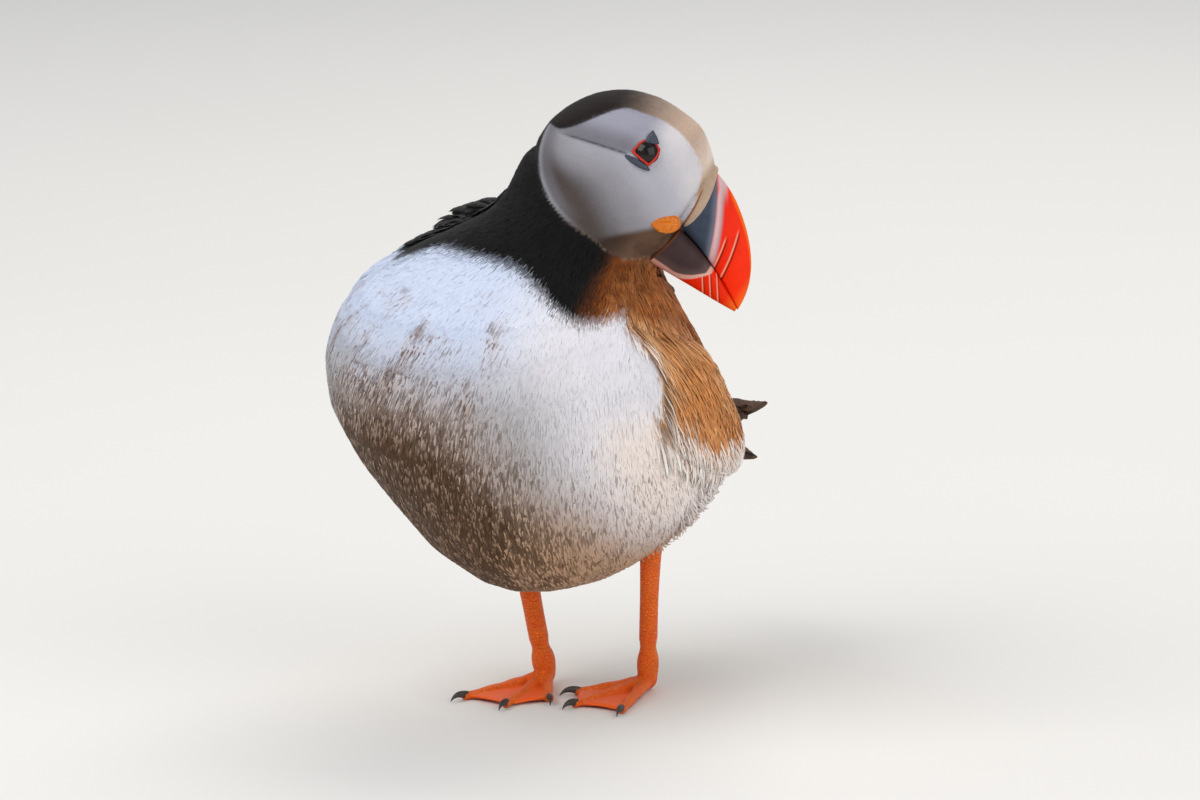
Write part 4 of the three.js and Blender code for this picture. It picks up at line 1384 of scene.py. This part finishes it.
@dataclass(frozen=True)
class BillShape:
    """Outlines of the bill along the head's x, in millimetres, as the frame has them."""

    root: float = 24.7
    tip: float = 58.2
    culmen_root: float = 16.9
    gape_root: float = -7.2
    gape_tip: float = -19.0
    lower_tip: float = 57.7
    root_half: float = 8.2
    tip_half: float = 1.5
    ridge_taper: float = 0.55
    groove_depth: float = 0.3
    feather_front: float = 27.7
    high_bow: float = 0.0166
    low_bow: float = 0.012

    groove_offsets = (5.5, 9.1)
    groove_tops = (-2.0, 2.2)
    lower_grooves = (30.5, 33.5, 36.5)

    def share(self, x: Array) -> Array:
        """How far along the bill x lies, from 0 to 1."""
        return np.clip((x - self.root) / (self.tip - self.root), 0, 1)

    def culmen(self, x: Array) -> Array:
        """Height of the arched ridge."""
        arch = (1 - self.share(x) ** 1.15) ** 0.475
        return self.gape_tip + (self.culmen_root - self.gape_tip) * arch

    def gape(self, x: Array) -> Array:
        """Height of the line where the bill opens."""
        return self.gape_root + (self.gape_tip - self.gape_root) * self.share(x) ** 1.6

    def gonys(self, x: Array) -> Array:
        """Height of the lower edge."""
        s = self.share(x)
        return np.minimum(-21.0 - 1.8 * (1 - s) ** 3 + 1.0 * s ** 4, self.gape(x) - 0.7)

    def half(self, x: Array, rise: Array) -> Array:
        """Half thickness at x, for a rise from -1 at the gape to 1 at the ridge."""
        side = self.root_half + (self.tip_half - self.root_half) * self.share(x) ** 0.9
        return side * (1 - self.ridge_taper * np.clip((rise + 1) / 2, 0, 1) ** 1.3)

    @staticmethod
    def feather_border(z: Array) -> Array:
        """The x at which the feathers end, at height z; it bows forwards."""
        high, low = np.clip(z + 2, 0, 30), np.clip(-z - 6, 0, 30)
        return BillShape.feather_front - BillShape.high_bow * high ** 2 - BillShape.low_bow * low ** 2

    @staticmethod
    def base_border_nodes(z: Num) -> Num:
        """The same border below the gape, in the shader."""
        return 27.8 - (z + 6.0).power(2.0) * BillShape.low_bow

    @staticmethod
    def gape_nodes(x: Num) -> Num:
        """Height of the line where the bill opens, in the shader."""
        share = ((x - BillShape.root) / (BillShape.tip - BillShape.root)).maths("MAXIMUM", 0.0)
        return share.power(1.6) * (BillShape.gape_tip - BillShape.gape_root) + BillShape.gape_root

    @staticmethod
    def cere_border(z: Array) -> Array:
        """The x of the cere's front edge at height z."""
        return 30.4 - 0.0150 * (z - 1.0) ** 2

    @staticmethod
    def slate_border(x: Array | Num, z: Array | Num) -> Array | Num:
        """Distance along x in front of the slanted border of the slate root, here or in the shader."""
        return x - (27.0 + (15.0 - z) * 0.535 + 1.5 * (1 - ((z - 2.0) / 13.0) ** 2))

    @staticmethod
    def groove(border: Array | Num, z: Array | Num, offset: float) -> Array | Num:
        """Distance from a groove, here or in the shader."""
        return border - offset - (z - 1.0) * 0.18

    def groove_cut(self, x: Array, z: Array, rise: Array) -> Array:
        """How deep the grooves and the band's step are cut at a place on the side."""
        border = self.slate_border(x, z)
        cut = sum(bell(self.groove(border, z, offset), 0.0, 0.55) * smooth(z - top, 1.5, -1.5)
                  for offset, top in zip(self.groove_offsets, self.groove_tops))
        return (cut + bell(border, 0.0, 0.6) * 0.7) * self.groove_depth - bell(border, 1.4, 1.0) * 0.2

    def section(self, turn: Array, x: Array, top: Array, bottom: Array,
                half: Callable[[Array, Array], Array], square: float = 1.0) -> tuple[Array, Array]:
        """Points of a section in the head's frame, and their rise from -1 to 1."""
        angle = turn * 2 * math.pi
        rise = np.cos(angle)
        side = np.sign(np.sin(angle)) * np.abs(np.sin(angle)) ** square
        z = (top + bottom) / 2 + (top - bottom) / 2 * rise
        return np.stack([x, side * half(x, rise), z], axis=1), rise


@dataclass
class Bill:
    """Both halves of the bill and the pale roll round its root."""

    shape: BillShape = BillShape()
    start: float = 27.5
    cere_proud: float = 0.75
    gap: float = -0.05

    def horn(self, name: str, end: float, top: Callable[[Array], Array],
             bottom: Callable[[Array], Array], half: Callable[[Array, Array], Array],
             cut: Callable[[Array, Array, Array], Array], finish: bpy.types.Material,
             slot: Slot, node: str) -> bpy.types.Object:
        """Builds one half of the bill and marks its rise."""
        def place(turn: Array, along: Array) -> Array:
            """Points of the closed surface."""
            x = self.start + (end - self.start) * np.sin(along * math.pi / 2)
            points, rise = self.shape.section(turn, x, top(x), bottom(x), half, 0.8)
            points[:, 1] -= np.sign(points[:, 1]) * np.minimum(
                cut(points[:, 0], points[:, 2], rise), np.abs(points[:, 1]) * 0.6)
            bow = self.shape.feather_border(points[:, 2]) - self.shape.feather_front
            points[:, 0] += bow * np.clip(1 - (x - self.start) / 12.0, 0, 1) ** 2
            return HEAD.outside(points)
        mesh = as_mesh(name, grid_surface(place, 96, 120))
        local = HEAD.inside(vertices_of(mesh))
        middle = (top(local[:, 0]) + bottom(local[:, 0])) / 2
        reach = np.maximum((top(local[:, 0]) - bottom(local[:, 0])) / 2, 0.05)
        write_attribute(mesh, "Rise", np.clip((local[:, 2] - middle) / reach, -1, 1))
        return add_piece(name, mesh, finish, slot, [node])

    def upper(self) -> bpy.types.Object:
        """The arched upper half."""
        shape = self.shape
        return self.horn("upper_bill", shape.tip, shape.culmen,
                         lambda x: shape.gape(x) + self.gap / 2, shape.half, shape.groove_cut,
                         UpperBillFinish().material(), Slot.BILL_RED, "bill_upper")

    def lower(self) -> bpy.types.Object:
        """The slim lower half."""
        shape = self.shape
        def cut(x: Array, z: Array, rise: Array) -> Array:
            """Depth of the short grooves."""
            return sum(bell(x + z * 0.75, place, 0.45) for place in shape.lower_grooves) * 0.2
        return self.horn("lower_bill", shape.lower_tip,
                         lambda x: shape.gape(x) - self.gap / 2, shape.gonys,
                         lambda x, rise: shape.half(x, -np.ones_like(rise))
                         * (0.96 - 0.4 * np.clip((1 - rise) / 2, 0, 1) ** 1.5),
                         cut, LowerBillFinish().material(), Slot.BILL_GREY, "bill_lower")

    def cere(self) -> bpy.types.Object:
        """The pale pitted roll between feathers and horn, bowed forwards."""
        shape = self.shape
        def place(turn: Array, along: Array) -> Array:
            """Points of the closed surface."""
            root = np.full_like(turn, self.start)
            points, _ = shape.section(turn, root, shape.culmen(root) + 0.2, shape.gape(root) + 0.3,
                                      shape.half, 0.8)
            z = points[:, 2]
            rear, front = shape.feather_border(z) - 0.35, shape.cere_border(z)
            roll = np.sin(along * math.pi) ** 0.6
            x = rear + (front - rear) * (1 - np.cos(along * math.pi)) / 2
            flank = shape.half(x, (z - shape.gape(x)) / (shape.culmen(x) - shape.gape(x)) * 2 - 1)
            scale = flank / np.maximum(shape.half(root, (z - shape.gape(root)) / (
                shape.culmen(root) - shape.gape(root)) * 2 - 1), 0.1)
            points[:, 0] = x
            points[:, 1] *= scale
            outwards = unit(points * [0, 1, 0.35] + [0, 0, -0.35 * -4.0])
            return HEAD.outside(points + outwards * (self.cere_proud * roll - 0.35)[:, None])
        mesh = as_mesh("cere_roll", grid_surface(place, 96, 16))
        return add_piece("cere_roll", mesh, CereFinish().material(), Slot.CERE, ["cere"])

    def build(self) -> None:
        """Makes every piece of the bill."""
        self.upper()
        self.lower()
        self.cere()


# ---- Face --------------------------------------------------------------------------------------

@dataclass
class Face:
    """Eyes with their red rings and horn plates, and the rosettes at the gape."""

    skin: SkinMap
    radius: float = 4.3
    dome: float = 0.8
    nudge: float = 0.7
    sunk: float = 2.1
    ring_radius: float = 3.45
    ring_thick: float = 0.42
    rosette_at: tuple[float, float] = (22.7, -8.5)
    rosette_lean: float = 0.59
    rosette_long: float = 4.8
    rosette_high: float = 3.5
    rosette_proud: float = 1.4

    def seat(self, sign: int, x: float, z: float) -> tuple[Array, Array]:
        """The skin's place beside a point of the profile and axes there: forwards, up, outwards."""
        probe = HEAD.outside(np.array([[x, sign * 40.0, z]]))[0]
        inward = HEAD.axes() @ np.array([0.0, -float(sign), 0.0])
        hit, _, _, _ = self.skin.tree.ray_cast(Vector(probe), Vector(inward))
        outwards = unit(HEAD.axes() @ np.array([0.0, float(sign), 0.25]))
        forwards = HEAD.axes() @ np.array([1.0, 0.0, 0.0])
        forwards = unit(forwards - outwards * (forwards @ outwards))
        up = np.cross(forwards, outwards) * sign
        return np.array(hit), np.stack([forwards, up, outwards])

    def pillow(self, name: str, sign: int, centre: tuple[float, float],
               outline: Callable[[Array], Array], dome: float, lean: float, lift: float,
               material: bpy.types.Material, slot: Slot) -> bpy.types.Object:
        """A small domed plate on the skin whose edge is outline(angle) millimetres away."""
        hit, axes = self.seat(sign, *centre)
        def place(turn: Array, along: Array) -> Array:
            """Points of the closed surface."""
            angle = turn * 2 * math.pi
            reach = outline(angle) * np.sin(along * math.pi)
            height = dome * np.cos(along * math.pi)
            flat = np.stack([np.cos(angle + lean) * reach, np.sin(angle + lean) * reach,
                             height + lift], axis=1)
            return hit + (flat * MM) @ axes
        mesh = as_mesh(name, grid_surface(place, 48, 20))
        return add_piece(name, mesh, material, slot)

    def eye(self, side: str, sign: int) -> None:
        """The dark ball and the bare ring round it."""
        centre = np.array(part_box(f"eye_{side}")).mean(axis=0)
        _, axes = self.seat(sign, HEAD.eye_x, HEAD.eye_z)
        centre = centre + axes[0] * self.nudge * MM
        def ball(turn: Array, along: Array) -> Array:
            """Points of the flattened ball."""
            angle, fall = turn * 2 * math.pi, along * math.pi
            flat = np.stack([np.cos(angle) * np.sin(fall), np.sin(angle) * np.sin(fall),
                             np.cos(fall)], axis=1)
            return centre + (flat * [1, 1, self.dome] * self.radius * MM) @ axes
        mesh = as_mesh(f"eye_ball_{side}", grid_surface(ball, 40, 24))
        out = (vertices_of(mesh) - centre) @ axes[2] / (self.radius * self.dome * MM)
        rim = np.sqrt(np.clip(1 - out ** 2, 0, 1)) / 0.8
        write_attribute(mesh, "Rim", np.where(out > 0, rim, 1.2))
        add_piece(f"eye_ball_{side}", mesh, EyeFinish().material(), Slot.EYE, [f"eye_{side}"])

        def ring(turn: Array, along: Array) -> Array:
            """Points of the cornered ring."""
            angle, roll = turn * 2 * math.pi, along * 2 * math.pi
            corners = (1.7 * self.peak(angle, -144) + 1.45 * self.peak(angle, -51)
                       + 0.5 * self.peak(angle, 39))
            thick = self.ring_thick * (1 + 0.10 * np.sin(angle * 11)) * (1 + 0.25 * corners)
            reach = self.ring_radius + corners * 0.75 + thick * np.cos(roll)
            level = self.sunk - corners * 0.4
            flat = np.stack([np.cos(angle) * reach, np.sin(angle) * reach,
                             level + thick * 0.75 * np.sin(roll)], axis=1)
            return centre + (flat * MM) @ axes
        mesh = as_mesh(f"eye_rim_{side}", grid_surface(ring, 90, 14))
        finish = FleshFinish("eye_ring_flesh", "#a01a10", "#e5391e", 0.0004, 0.0001, 0.4)
        add_piece(f"eye_rim_{side}", mesh, finish.material(), Slot.EYE_RING, [f"eye_ring_{side}"])

    @staticmethod
    def peak(angle: Array, degrees: float) -> Array:
        """A corner of height 1 at one direction of an outline."""
        off = np.angle(np.exp(1j * (angle - math.radians(degrees))))
        return np.exp(-np.abs(off / 0.33) ** 1.3)

    def plates(self, side: str, sign: int) -> None:
        """The grey horn triangle over the eye and the bar under it."""
        horn = FleshFinish("eyelid_horn", "#2b303b", "#4d5666", 0.0005, 0.00008, 0.38).material()
        def triangle(angle: Array) -> Array:
            """Outline of the plate over the eye."""
            return (1.8 + 1.2 * self.peak(angle, 118) + 1.1 * self.peak(angle, -2)
                    + 0.7 * self.peak(angle, -121))
        self.pillow(f"eye_plate_{side}", sign, (3.3, 11.5), triangle, 0.9, 0.0, 0.7, horn, Slot.BILL_GREY)
        def bar(angle: Array) -> Array:
            """Outline of the bar under the eye."""
            return 5.0 / np.sqrt(np.cos(angle) ** 2 + (np.sin(angle) * 4.6) ** 2)
        self.pillow(f"eye_bar_{side}", sign, (3.7, 2.3), bar, 0.8, 0.05, 0.6, horn, Slot.BILL_GREY)

    def rosette(self, side: str, sign: int) -> None:
        """The wrinkled orange skin at the corner of the gape, folded along its middle."""
        hit, axes = self.seat(sign, *self.rosette_at)
        def place(turn: Array, along: Array) -> Array:
            """Points of the closed surface."""
            angle = turn * 2 * math.pi
            fold = np.sin(along * math.pi)
            turned = angle - self.rosette_lean
            reach = fold / np.hypot(np.cos(turned) / self.rosette_long, np.sin(turned) / self.rosette_high)
            reach = reach * (1 + 0.12 * self.peak(angle, 214))
            u, v = np.cos(angle) * reach, np.sin(angle) * reach
            height = self.rosette_proud * np.cos(along * math.pi)
            wrinkle = 0.05 * np.sin(u * 5.0 + np.abs(v - 0.6 * u) * 3.0) * fold
            seam = 0.35 * bell(v - 0.6 * u, 0.0, 0.35) * smooth(u, 2.5, 0.5)
            height = height * (1 - seam) + np.where(along < 0.5, wrinkle, 0.0)
            return hit + (np.stack([u, v, height + 0.2], axis=1) * MM) @ axes
        mesh = as_mesh(f"gape_rosette_{side}", grid_surface(place, 72, 48))
        finish = FleshFinish("rosette_flesh", "#c4600a", "#f08c14", 0.0007, 0.0001, 0.36)
        add_piece(f"gape_rosette_{side}", mesh, finish.material(), Slot.ROSETTE, [f"rosette_{side}"])

    def build(self) -> None:
        """Makes both sides of the face."""
        for side, sign in (("left", 1), ("right", -1)):
            self.eye(side, sign)
            self.plates(side, sign)
            self.rosette(side, sign)


# ---- Legs --------------------------------------------------------------------------------------

@dataclass
class Leg:
    """One shank with its webbed foot and claws, in the bird's working frame."""

    side: str
    ankle: tuple[float, float]
    top: tuple[float, float, float]
    heading: float
    inner: float
    outer: float
    toe_lengths: tuple[float, float, float] = (26.0, 36.0, 35.5)
    toe_root: float = 2.5
    toe_tip: float = 1.45
    claw_length: float = 5.4
    web_thick: float = 1.35
    foot_height: float = 8.5
    stout: float = 1.0
    voxel: float = 0.00042

    def directions(self) -> list[Array]:
        """The level directions of the inner, middle and outer toes."""
        angles = np.radians([self.heading + self.inner, self.heading, self.heading + self.outer])
        return [np.array([math.sin(a), -math.cos(a), 0.0]) for a in angles]

    def tube(self, path: Callable[[Array], Array], radius: Callable[[Array], Array],
             side: Array, flat: float = 1.0, around: int = 20, along: int = 40) -> bmesh.types.BMesh:
        """A round tube along a path, in millimetres of the bird's frame."""
        def place(turn: Array, way: Array) -> Array:
            """Points of the closed surface."""
            angle = turn * 2 * math.pi
            step = 1e-3
            forward = unit(path(np.clip(way + step, 0, 1)) - path(np.clip(way - step, 0, 1)))
            width = unit(side - forward * (forward @ side)[:, None])
            up = np.cross(width, forward)
            size = radius(way)[:, None]
            return HEAD.from_bird(path(way) + width * np.cos(angle)[:, None] * size
                                  + up * np.sin(angle)[:, None] * size * flat)
        return grid_surface(place, around, along)

    def shank(self) -> bmesh.types.BMesh:
        """The bare shank, knobbed at both ends and bulging down its back."""
        low = np.array([*self.ankle, self.foot_height * 0.5])
        high = np.array(self.top)
        def path(way: Array) -> Array:
            """Midline of the shank."""
            bow = np.sin(way * math.pi)[:, None] * np.array([0, -0.6, 0])
            return low + (high - low) * way[:, None] + bow
        def radius(way: Array) -> Array:
            """Half thickness of the shank."""
            knob = 0.55 * bell(way, 0.08, 0.07) - 0.35 * bell(way, 0.17, 0.03)
            crease = 0.25 * (bell(way, 0.19, 0.01) + bell(way, 0.215, 0.01))
            return (2.85 + knob - crease + 0.8 * smooth(way, 0.4, 1.0)) * self.stout
        heading = self.directions()[1]
        return self.tube(path, radius, np.cross([0, 0, 1.0], heading), 1.2, 36, 120)

    def toe_path(self, direction: Array, length: float) -> Callable[[Array], Array]:
        """The midline of a toe, from the ankle to its end."""
        ankle = np.array([*self.ankle, 0.0])
        start = ankle - direction * 1.0 + [0, 0, self.foot_height * 0.42]
        bend = ankle + direction * length * 0.3 + [0, 0, self.toe_root * 0.9]
        end = ankle + direction * length + [0, 0, self.toe_tip * 0.9]
        return lambda way: bent(way, start, bend, end)

    def web(self, first: Array, second: Array, lengths: tuple[float, float]) -> bmesh.types.BMesh:
        """The thin sagging skin between two toes, its front edge hollow."""
        ankle = np.array([*self.ankle, 0.0])
        def place(turn: Array, way: Array) -> Array:
            """Points of the closed surface."""
            over = turn < 0.5
            share = np.where(over, turn * 2, 2 - turn * 2)
            length = lengths[0] * (1 - share) + lengths[1] * share
            reach = length * 0.97 * (1 - 0.09 * np.sin(share * math.pi))
            ray = unit(first * (1 - share)[:, None] + second * share[:, None])
            edge = np.sin(np.clip(share, 0, 1) * math.pi)
            height = 0.35 + 0.5 * edge * way ** 2 + np.where(over, self.web_thick, 0.0)
            return HEAD.from_bird(ankle + ray * (reach * way)[:, None]
                                  + np.array([0, 0, 1.0]) * height[:, None])
        return grid_surface(place, 48, 24)

    def foot(self) -> bpy.types.Object:
        """Shank, toes, webs and heel grown into one skin."""
        made = bmesh.new()
        made.from_mesh(as_mesh("shank", self.shank()))
        directions = self.directions()
        for direction, length in zip(directions, self.toe_lengths):
            across = np.cross([0, 0, 1.0], direction)
            joints = 3 if length < 30 else 4
            def radius(way: Array, count: int = joints) -> Array:
                """Half thickness of the toe."""
                knuckle = 0.13 * np.cos(way * count * 2 * math.pi)
                return self.toe_root + (self.toe_tip - self.toe_root) * way + knuckle
            toe = self.tube(self.toe_path(direction, length), radius, across, 0.9)
            made.from_mesh(as_mesh("toe", toe))
        for i in (0, 1):
            pair = (self.toe_lengths[i], self.toe_lengths[i + 1])
            made.from_mesh(as_mesh("web", self.web(directions[i], directions[i + 1], pair)))
        heel = bmesh.new()
        bmesh.ops.create_icosphere(heel, subdivisions=3, radius=1.0)
        bmesh.ops.scale(heel, verts=heel.verts, vec=Vector((3.2, 3.6, 3.9)) * MM)
        bmesh.ops.translate(heel, verts=heel.verts,
                            vec=Vector(HEAD.from_bird([*self.ankle, self.foot_height * 0.47])))
        made.from_mesh(as_mesh("heel", heel))
        mesh = smoothed(f"webbed_foot_{self.side}", as_mesh("rough_foot", made), self.voxel, 6)
        points = vertices_of(mesh)
        points[:, 2] = np.maximum(points[:, 2], 0.0)
        move_vertices(mesh, points)
        self.mark(mesh, points)
        return add_piece(f"webbed_foot_{self.side}", mesh, LegFinish().material(), Slot.LEG,
                         [f"foot_{self.side}", f"leg_{self.side}"])

    def mark(self, mesh: bpy.types.Mesh, points: Array) -> None:
        """Counts scutes up the shank and along each toe, and marks where the web is."""
        flat = HEAD.bird(points) - [*self.ankle, 0.0]
        height = flat[:, 2].copy()
        flat[:, 2] = 0
        directions = np.stack(self.directions())
        along = flat @ directions.T
        aside = np.stack([np.linalg.norm(flat - along[:, [k]] * directions[k], axis=1)
                          for k in range(3)], axis=1)
        nearest = aside.argmin(axis=1)
        rows = np.arange(len(flat))
        on_shank = smooth(height, 7.5, 10.0)
        count = along[rows, nearest] / 1.15 * (1 - on_shank) + height / 1.3 * on_shank
        web = smooth(aside[rows, nearest], 1.8, 2.6) * smooth(along[rows, nearest], 3.0, 8.0)
        write_attribute(mesh, "Scute", count)
        write_attribute(mesh, "Web", web * (1 - on_shank))

    def claws(self) -> None:
        """Three curved claws."""
        finish = ClawFinish().material()
        ankle = np.array([*self.ankle, 0.0])
        toes = zip(("inner", "middle", "outer"), self.directions(), self.toe_lengths)
        for name, toe, length in toes:
            start = ankle + toe * (length - 1.6) + [0, 0, 1.55]
            bend = ankle + toe * (length + self.claw_length * 0.6) + [0, 0, 3.4]
            end = ankle + toe * (length + self.claw_length) + [0, 0, 0.35]
            made = self.tube(lambda way: bent(way, start, bend, end),
                             lambda way: 1.2 * (1 - 0.93 * way ** 1.5),
                             np.cross([0, 0, 1.0], toe), 1.15, 16, 18)
            mesh = as_mesh(f"nail_{self.side}_{name}", made)
            add_piece(f"nail_{self.side}_{name}", mesh, finish, Slot.CLAW, [f"claw_{self.side}_{name}"])

    def build(self) -> None:
        """Makes the foot with its shank, and the claws."""
        self.foot()
        self.claws()


# ---- Wings and tail ----------------------------------------------------------------------------

@dataclass
class Quills:
    """The long stiff feathers of the folded wings and the tail."""

    brown: str = "#4b3323"
    dusky: str = "#5a4637"
    edge: str = "#54392a"
    tail: str = "#15110f"

    def fan(self, feathers: Feathers, starts: Array, tips: Array, up: Array, width: float,
            sag: float, tint: str, seed: int) -> None:
        """Adds one row of quills from starts to tips."""
        rng = np.random.default_rng(seed)
        count = len(starts)
        handle = (starts + tips) / 2 + up * sag * MM
        along = unit(tips - starts)
        ups = np.tile(up, (count, 1)) if up.ndim == 1 else up
        across = unit(np.cross(ups, along))
        tints = linear(tint)[None, :] * rng.uniform(0.8, 1.2, count)[:, None]
        unwrap = np.stack([np.linspace(0.02, 0.98, count), rng.uniform(0.02, 0.98, count)], axis=1)
        feathers.add((starts, handle, tips), across, (ups, ups), np.full(count, width * MM / 2),
                     np.full(count, 0.45 * MM), (tints, tints), unwrap)

    def wings(self) -> None:
        """Primaries that run past the rump beside the tail."""
        for side, sign in (("left", 1), ("right", -1)):
            feathers = Feathers(QUILL)
            steps = np.linspace(0, 1, 8)
            starts = np.stack([sign * (35 - 4 * steps), 20 + 8 * steps, 91 + 4 * steps], axis=1)
            tips = np.stack([sign * (20.5 + 2 * steps), 80 - 16 * steps, 86.2 + 1.5 * steps], axis=1)
            up = unit(np.array([sign * 0.6, 0.1, 0.78]))
            lift = np.linspace(0, 1.6, 8)[:, None] * up
            self.fan(feathers, HEAD.from_bird(starts + lift), HEAD.from_bird(tips + lift), up, 4.4, 1.2,
                     self.brown, 31)
            feathers.build(f"primaries_{side}", PlumageFinish("quill").material(), Slot.BROWN)

    def tail_fan(self) -> None:
        """Twelve short tail feathers, the middle ones on top."""
        feathers = Feathers(QUILL)
        spread = np.linspace(-1, 1, 12)
        starts = np.stack([1 + spread * 7, np.full(12, 44.0), 78 - np.abs(spread) * 1.5], axis=1)
        tips = np.stack([spread * 14.5, 88 - 5 * spread ** 2, 67.0 - np.abs(spread) * 1.2], axis=1)
        up = unit(np.array([0.0, 0.45, 1.0]))
        self.fan(feathers, HEAD.from_bird(starts), HEAD.from_bird(tips), up, 9.0, 1.5, self.tail, 32)
        steps = np.linspace(0, 1, 4)
        for sign in (-1, 1):
            starts = np.stack([sign * (12 + 4 * steps), 54 - 2 * steps, 73 + 6 * steps], axis=1)
            tips = np.stack([sign * (13 - steps), 86 - 6 * steps, 65 + 4 * steps], axis=1)
            up = unit(np.array([sign * 0.9, 0.1, 0.5]))
            self.fan(feathers, HEAD.from_bird(starts), HEAD.from_bird(tips), up, 4.2, 1.0, self.dusky, 33)
        feathers.build("tail_feathers", PlumageFinish("tail_quill").material(), Slot.BLACK, ["tail"])

    def build(self) -> None:
        """Makes the wings' and the tail's quills."""
        self.wings()
        self.tail_fan()


# ---- Studio ------------------------------------------------------------------------------------

@dataclass(frozen=True)
class Studio:
    """Plain pale floor and backdrop, soft lamps and the camera."""

    azimuth: float = 32.0
    elevation: float = 12.0
    distance: float = 2.8
    view_width: float = 0.3934
    sensor: float = 36.0
    eye_right_of_middle: float = 0.01475
    eye_above_middle: float = 0.08164
    floor_half: float = 6.0
    lamp_distance: float = 1.6
    lamp_aim: tuple[float, float, float] = (0.0, 0.0, 0.1)
    sky_colour: tuple[float, ...] = (0.86, 0.92, 1.0, 1)
    sky_strength: float = 0.46
    backdrop_colour: tuple[float, ...] = (0.86, 0.87, 0.88, 1)

    def axes(self) -> tuple[Vector, Vector, Vector]:
        """The camera's right, up and back directions."""
        turn = math.radians(self.azimuth)
        right = Vector((math.cos(turn), math.sin(turn), 0))
        back = bearing(self.azimuth, self.elevation)
        return right, back.cross(right), back

    def camera(self) -> None:
        """A long lens placed by the near eye."""
        right, up, back = self.axes()
        eye = Vector(np.array(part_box("eye_right")).mean(axis=0))
        aim = eye - right * self.eye_right_of_middle - up * self.eye_above_middle
        data = bpy.data.cameras.new("camera")
        data.sensor_width = self.sensor
        data.lens = self.sensor * self.distance / self.view_width
        data.clip_end = 50
        made = bpy.data.objects.new("camera", data)
        made.matrix_world = Matrix.Translation(aim + back * self.distance) @ Matrix(
            (right, up, back)).transposed().to_4x4()
        bpy.context.collection.objects.link(made)
        bpy.context.scene.camera = made

    def lamp(self, name: str, azimuth: float, elevation: float, size: float, power: float,
             colour: tuple[float, float, float]) -> None:
        """A square soft lamp aimed at the bird."""
        away = bearing(azimuth, elevation)
        data = bpy.data.lights.new(name, "AREA")
        data.shape = "SQUARE"
        data.size = size
        data.energy = power
        data.color = colour
        made = bpy.data.objects.new(name, data)
        made.location = Vector(self.lamp_aim) + away * self.lamp_distance
        made.rotation_euler = away.to_track_quat("Z", "Y").to_euler()
        bpy.context.collection.objects.link(made)

    def floor(self) -> None:
        """A flat pale floor."""
        made = bmesh.new()
        bmesh.ops.create_grid(made, x_segments=1, y_segments=1, size=self.floor_half)
        paint = Paint("pale_floor")
        mottle = paint.noise(0.4, 2.0)
        colour = paint.mix(mottle, "#e2e0dc", "#e8e6e3")
        material = paint.dress(colour, 0.9)
        mesh = as_mesh("floor", made)
        mesh.materials.append(material)
        floor = bpy.data.objects.new("floor", mesh)
        bpy.context.collection.objects.link(floor)

    def world(self) -> None:
        """Even sky light, white where the camera sees it."""
        world = bpy.data.worlds.new("studio")
        bpy.context.scene.world = world
        world.use_nodes = True
        nodes, links = world.node_tree.nodes, world.node_tree.links
        nodes.clear()
        rays = nodes.new("ShaderNodeLightPath")
        soft, pale, mix, out = (nodes.new(kind) for kind in (
            "ShaderNodeBackground", "ShaderNodeBackground", "ShaderNodeMixShader", "ShaderNodeOutputWorld"))
        soft.inputs["Color"].default_value = self.sky_colour
        soft.inputs["Strength"].default_value = self.sky_strength
        pale.inputs["Color"].default_value = self.backdrop_colour
        pale.inputs["Strength"].default_value = 1.0
        links.new(rays.outputs["Is Camera Ray"], mix.inputs[0])
        links.new(soft.outputs[0], mix.inputs[1])
        links.new(pale.outputs[0], mix.inputs[2])
        links.new(mix.outputs[0], out.inputs[0])

    def build(self) -> None:
        """Sets up the whole studio."""
        self.camera()
        self.floor()
        self.world()
        self.lamp("key", -25, 48, 1.3, 15, (1.0, 0.98, 0.95))
        self.lamp("fill", 75, 25, 1.4, 9, (1.0, 0.95, 0.88))
        self.lamp("back", 190, 50, 1.2, 12, (1.0, 0.96, 0.9))
        bpy.context.scene.view_settings.view_transform = "Standard"


# ---- Making ------------------------------------------------------------------------------------

LEGS = (
    Leg("right", (-15.1, -6.0), (-20.0, -15.0, 56.0), 10.0, 25.0, -29.0, stout=1.14),
    Leg("left", (18.0, 6.0), (23.0, 1.0, 64.0), -12.0, -27.0, 29.0),
)


def main() -> None:
    """Builds the bird piece by piece, then the studio round it."""
    logging.basicConfig(level=logging.INFO, format="%(name)s %(message)s")
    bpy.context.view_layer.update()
    skin = SkinMap(Skin().build())
    Bill().build()
    Face(skin).build()
    for leg in LEGS:
        leg.build()
    Quills().build()
    plumage = PlumageFinish().material()
    for coat in COATS:
        coat.build(skin, plumage)
    Studio().build()


if __name__ == "__main__":
    main()
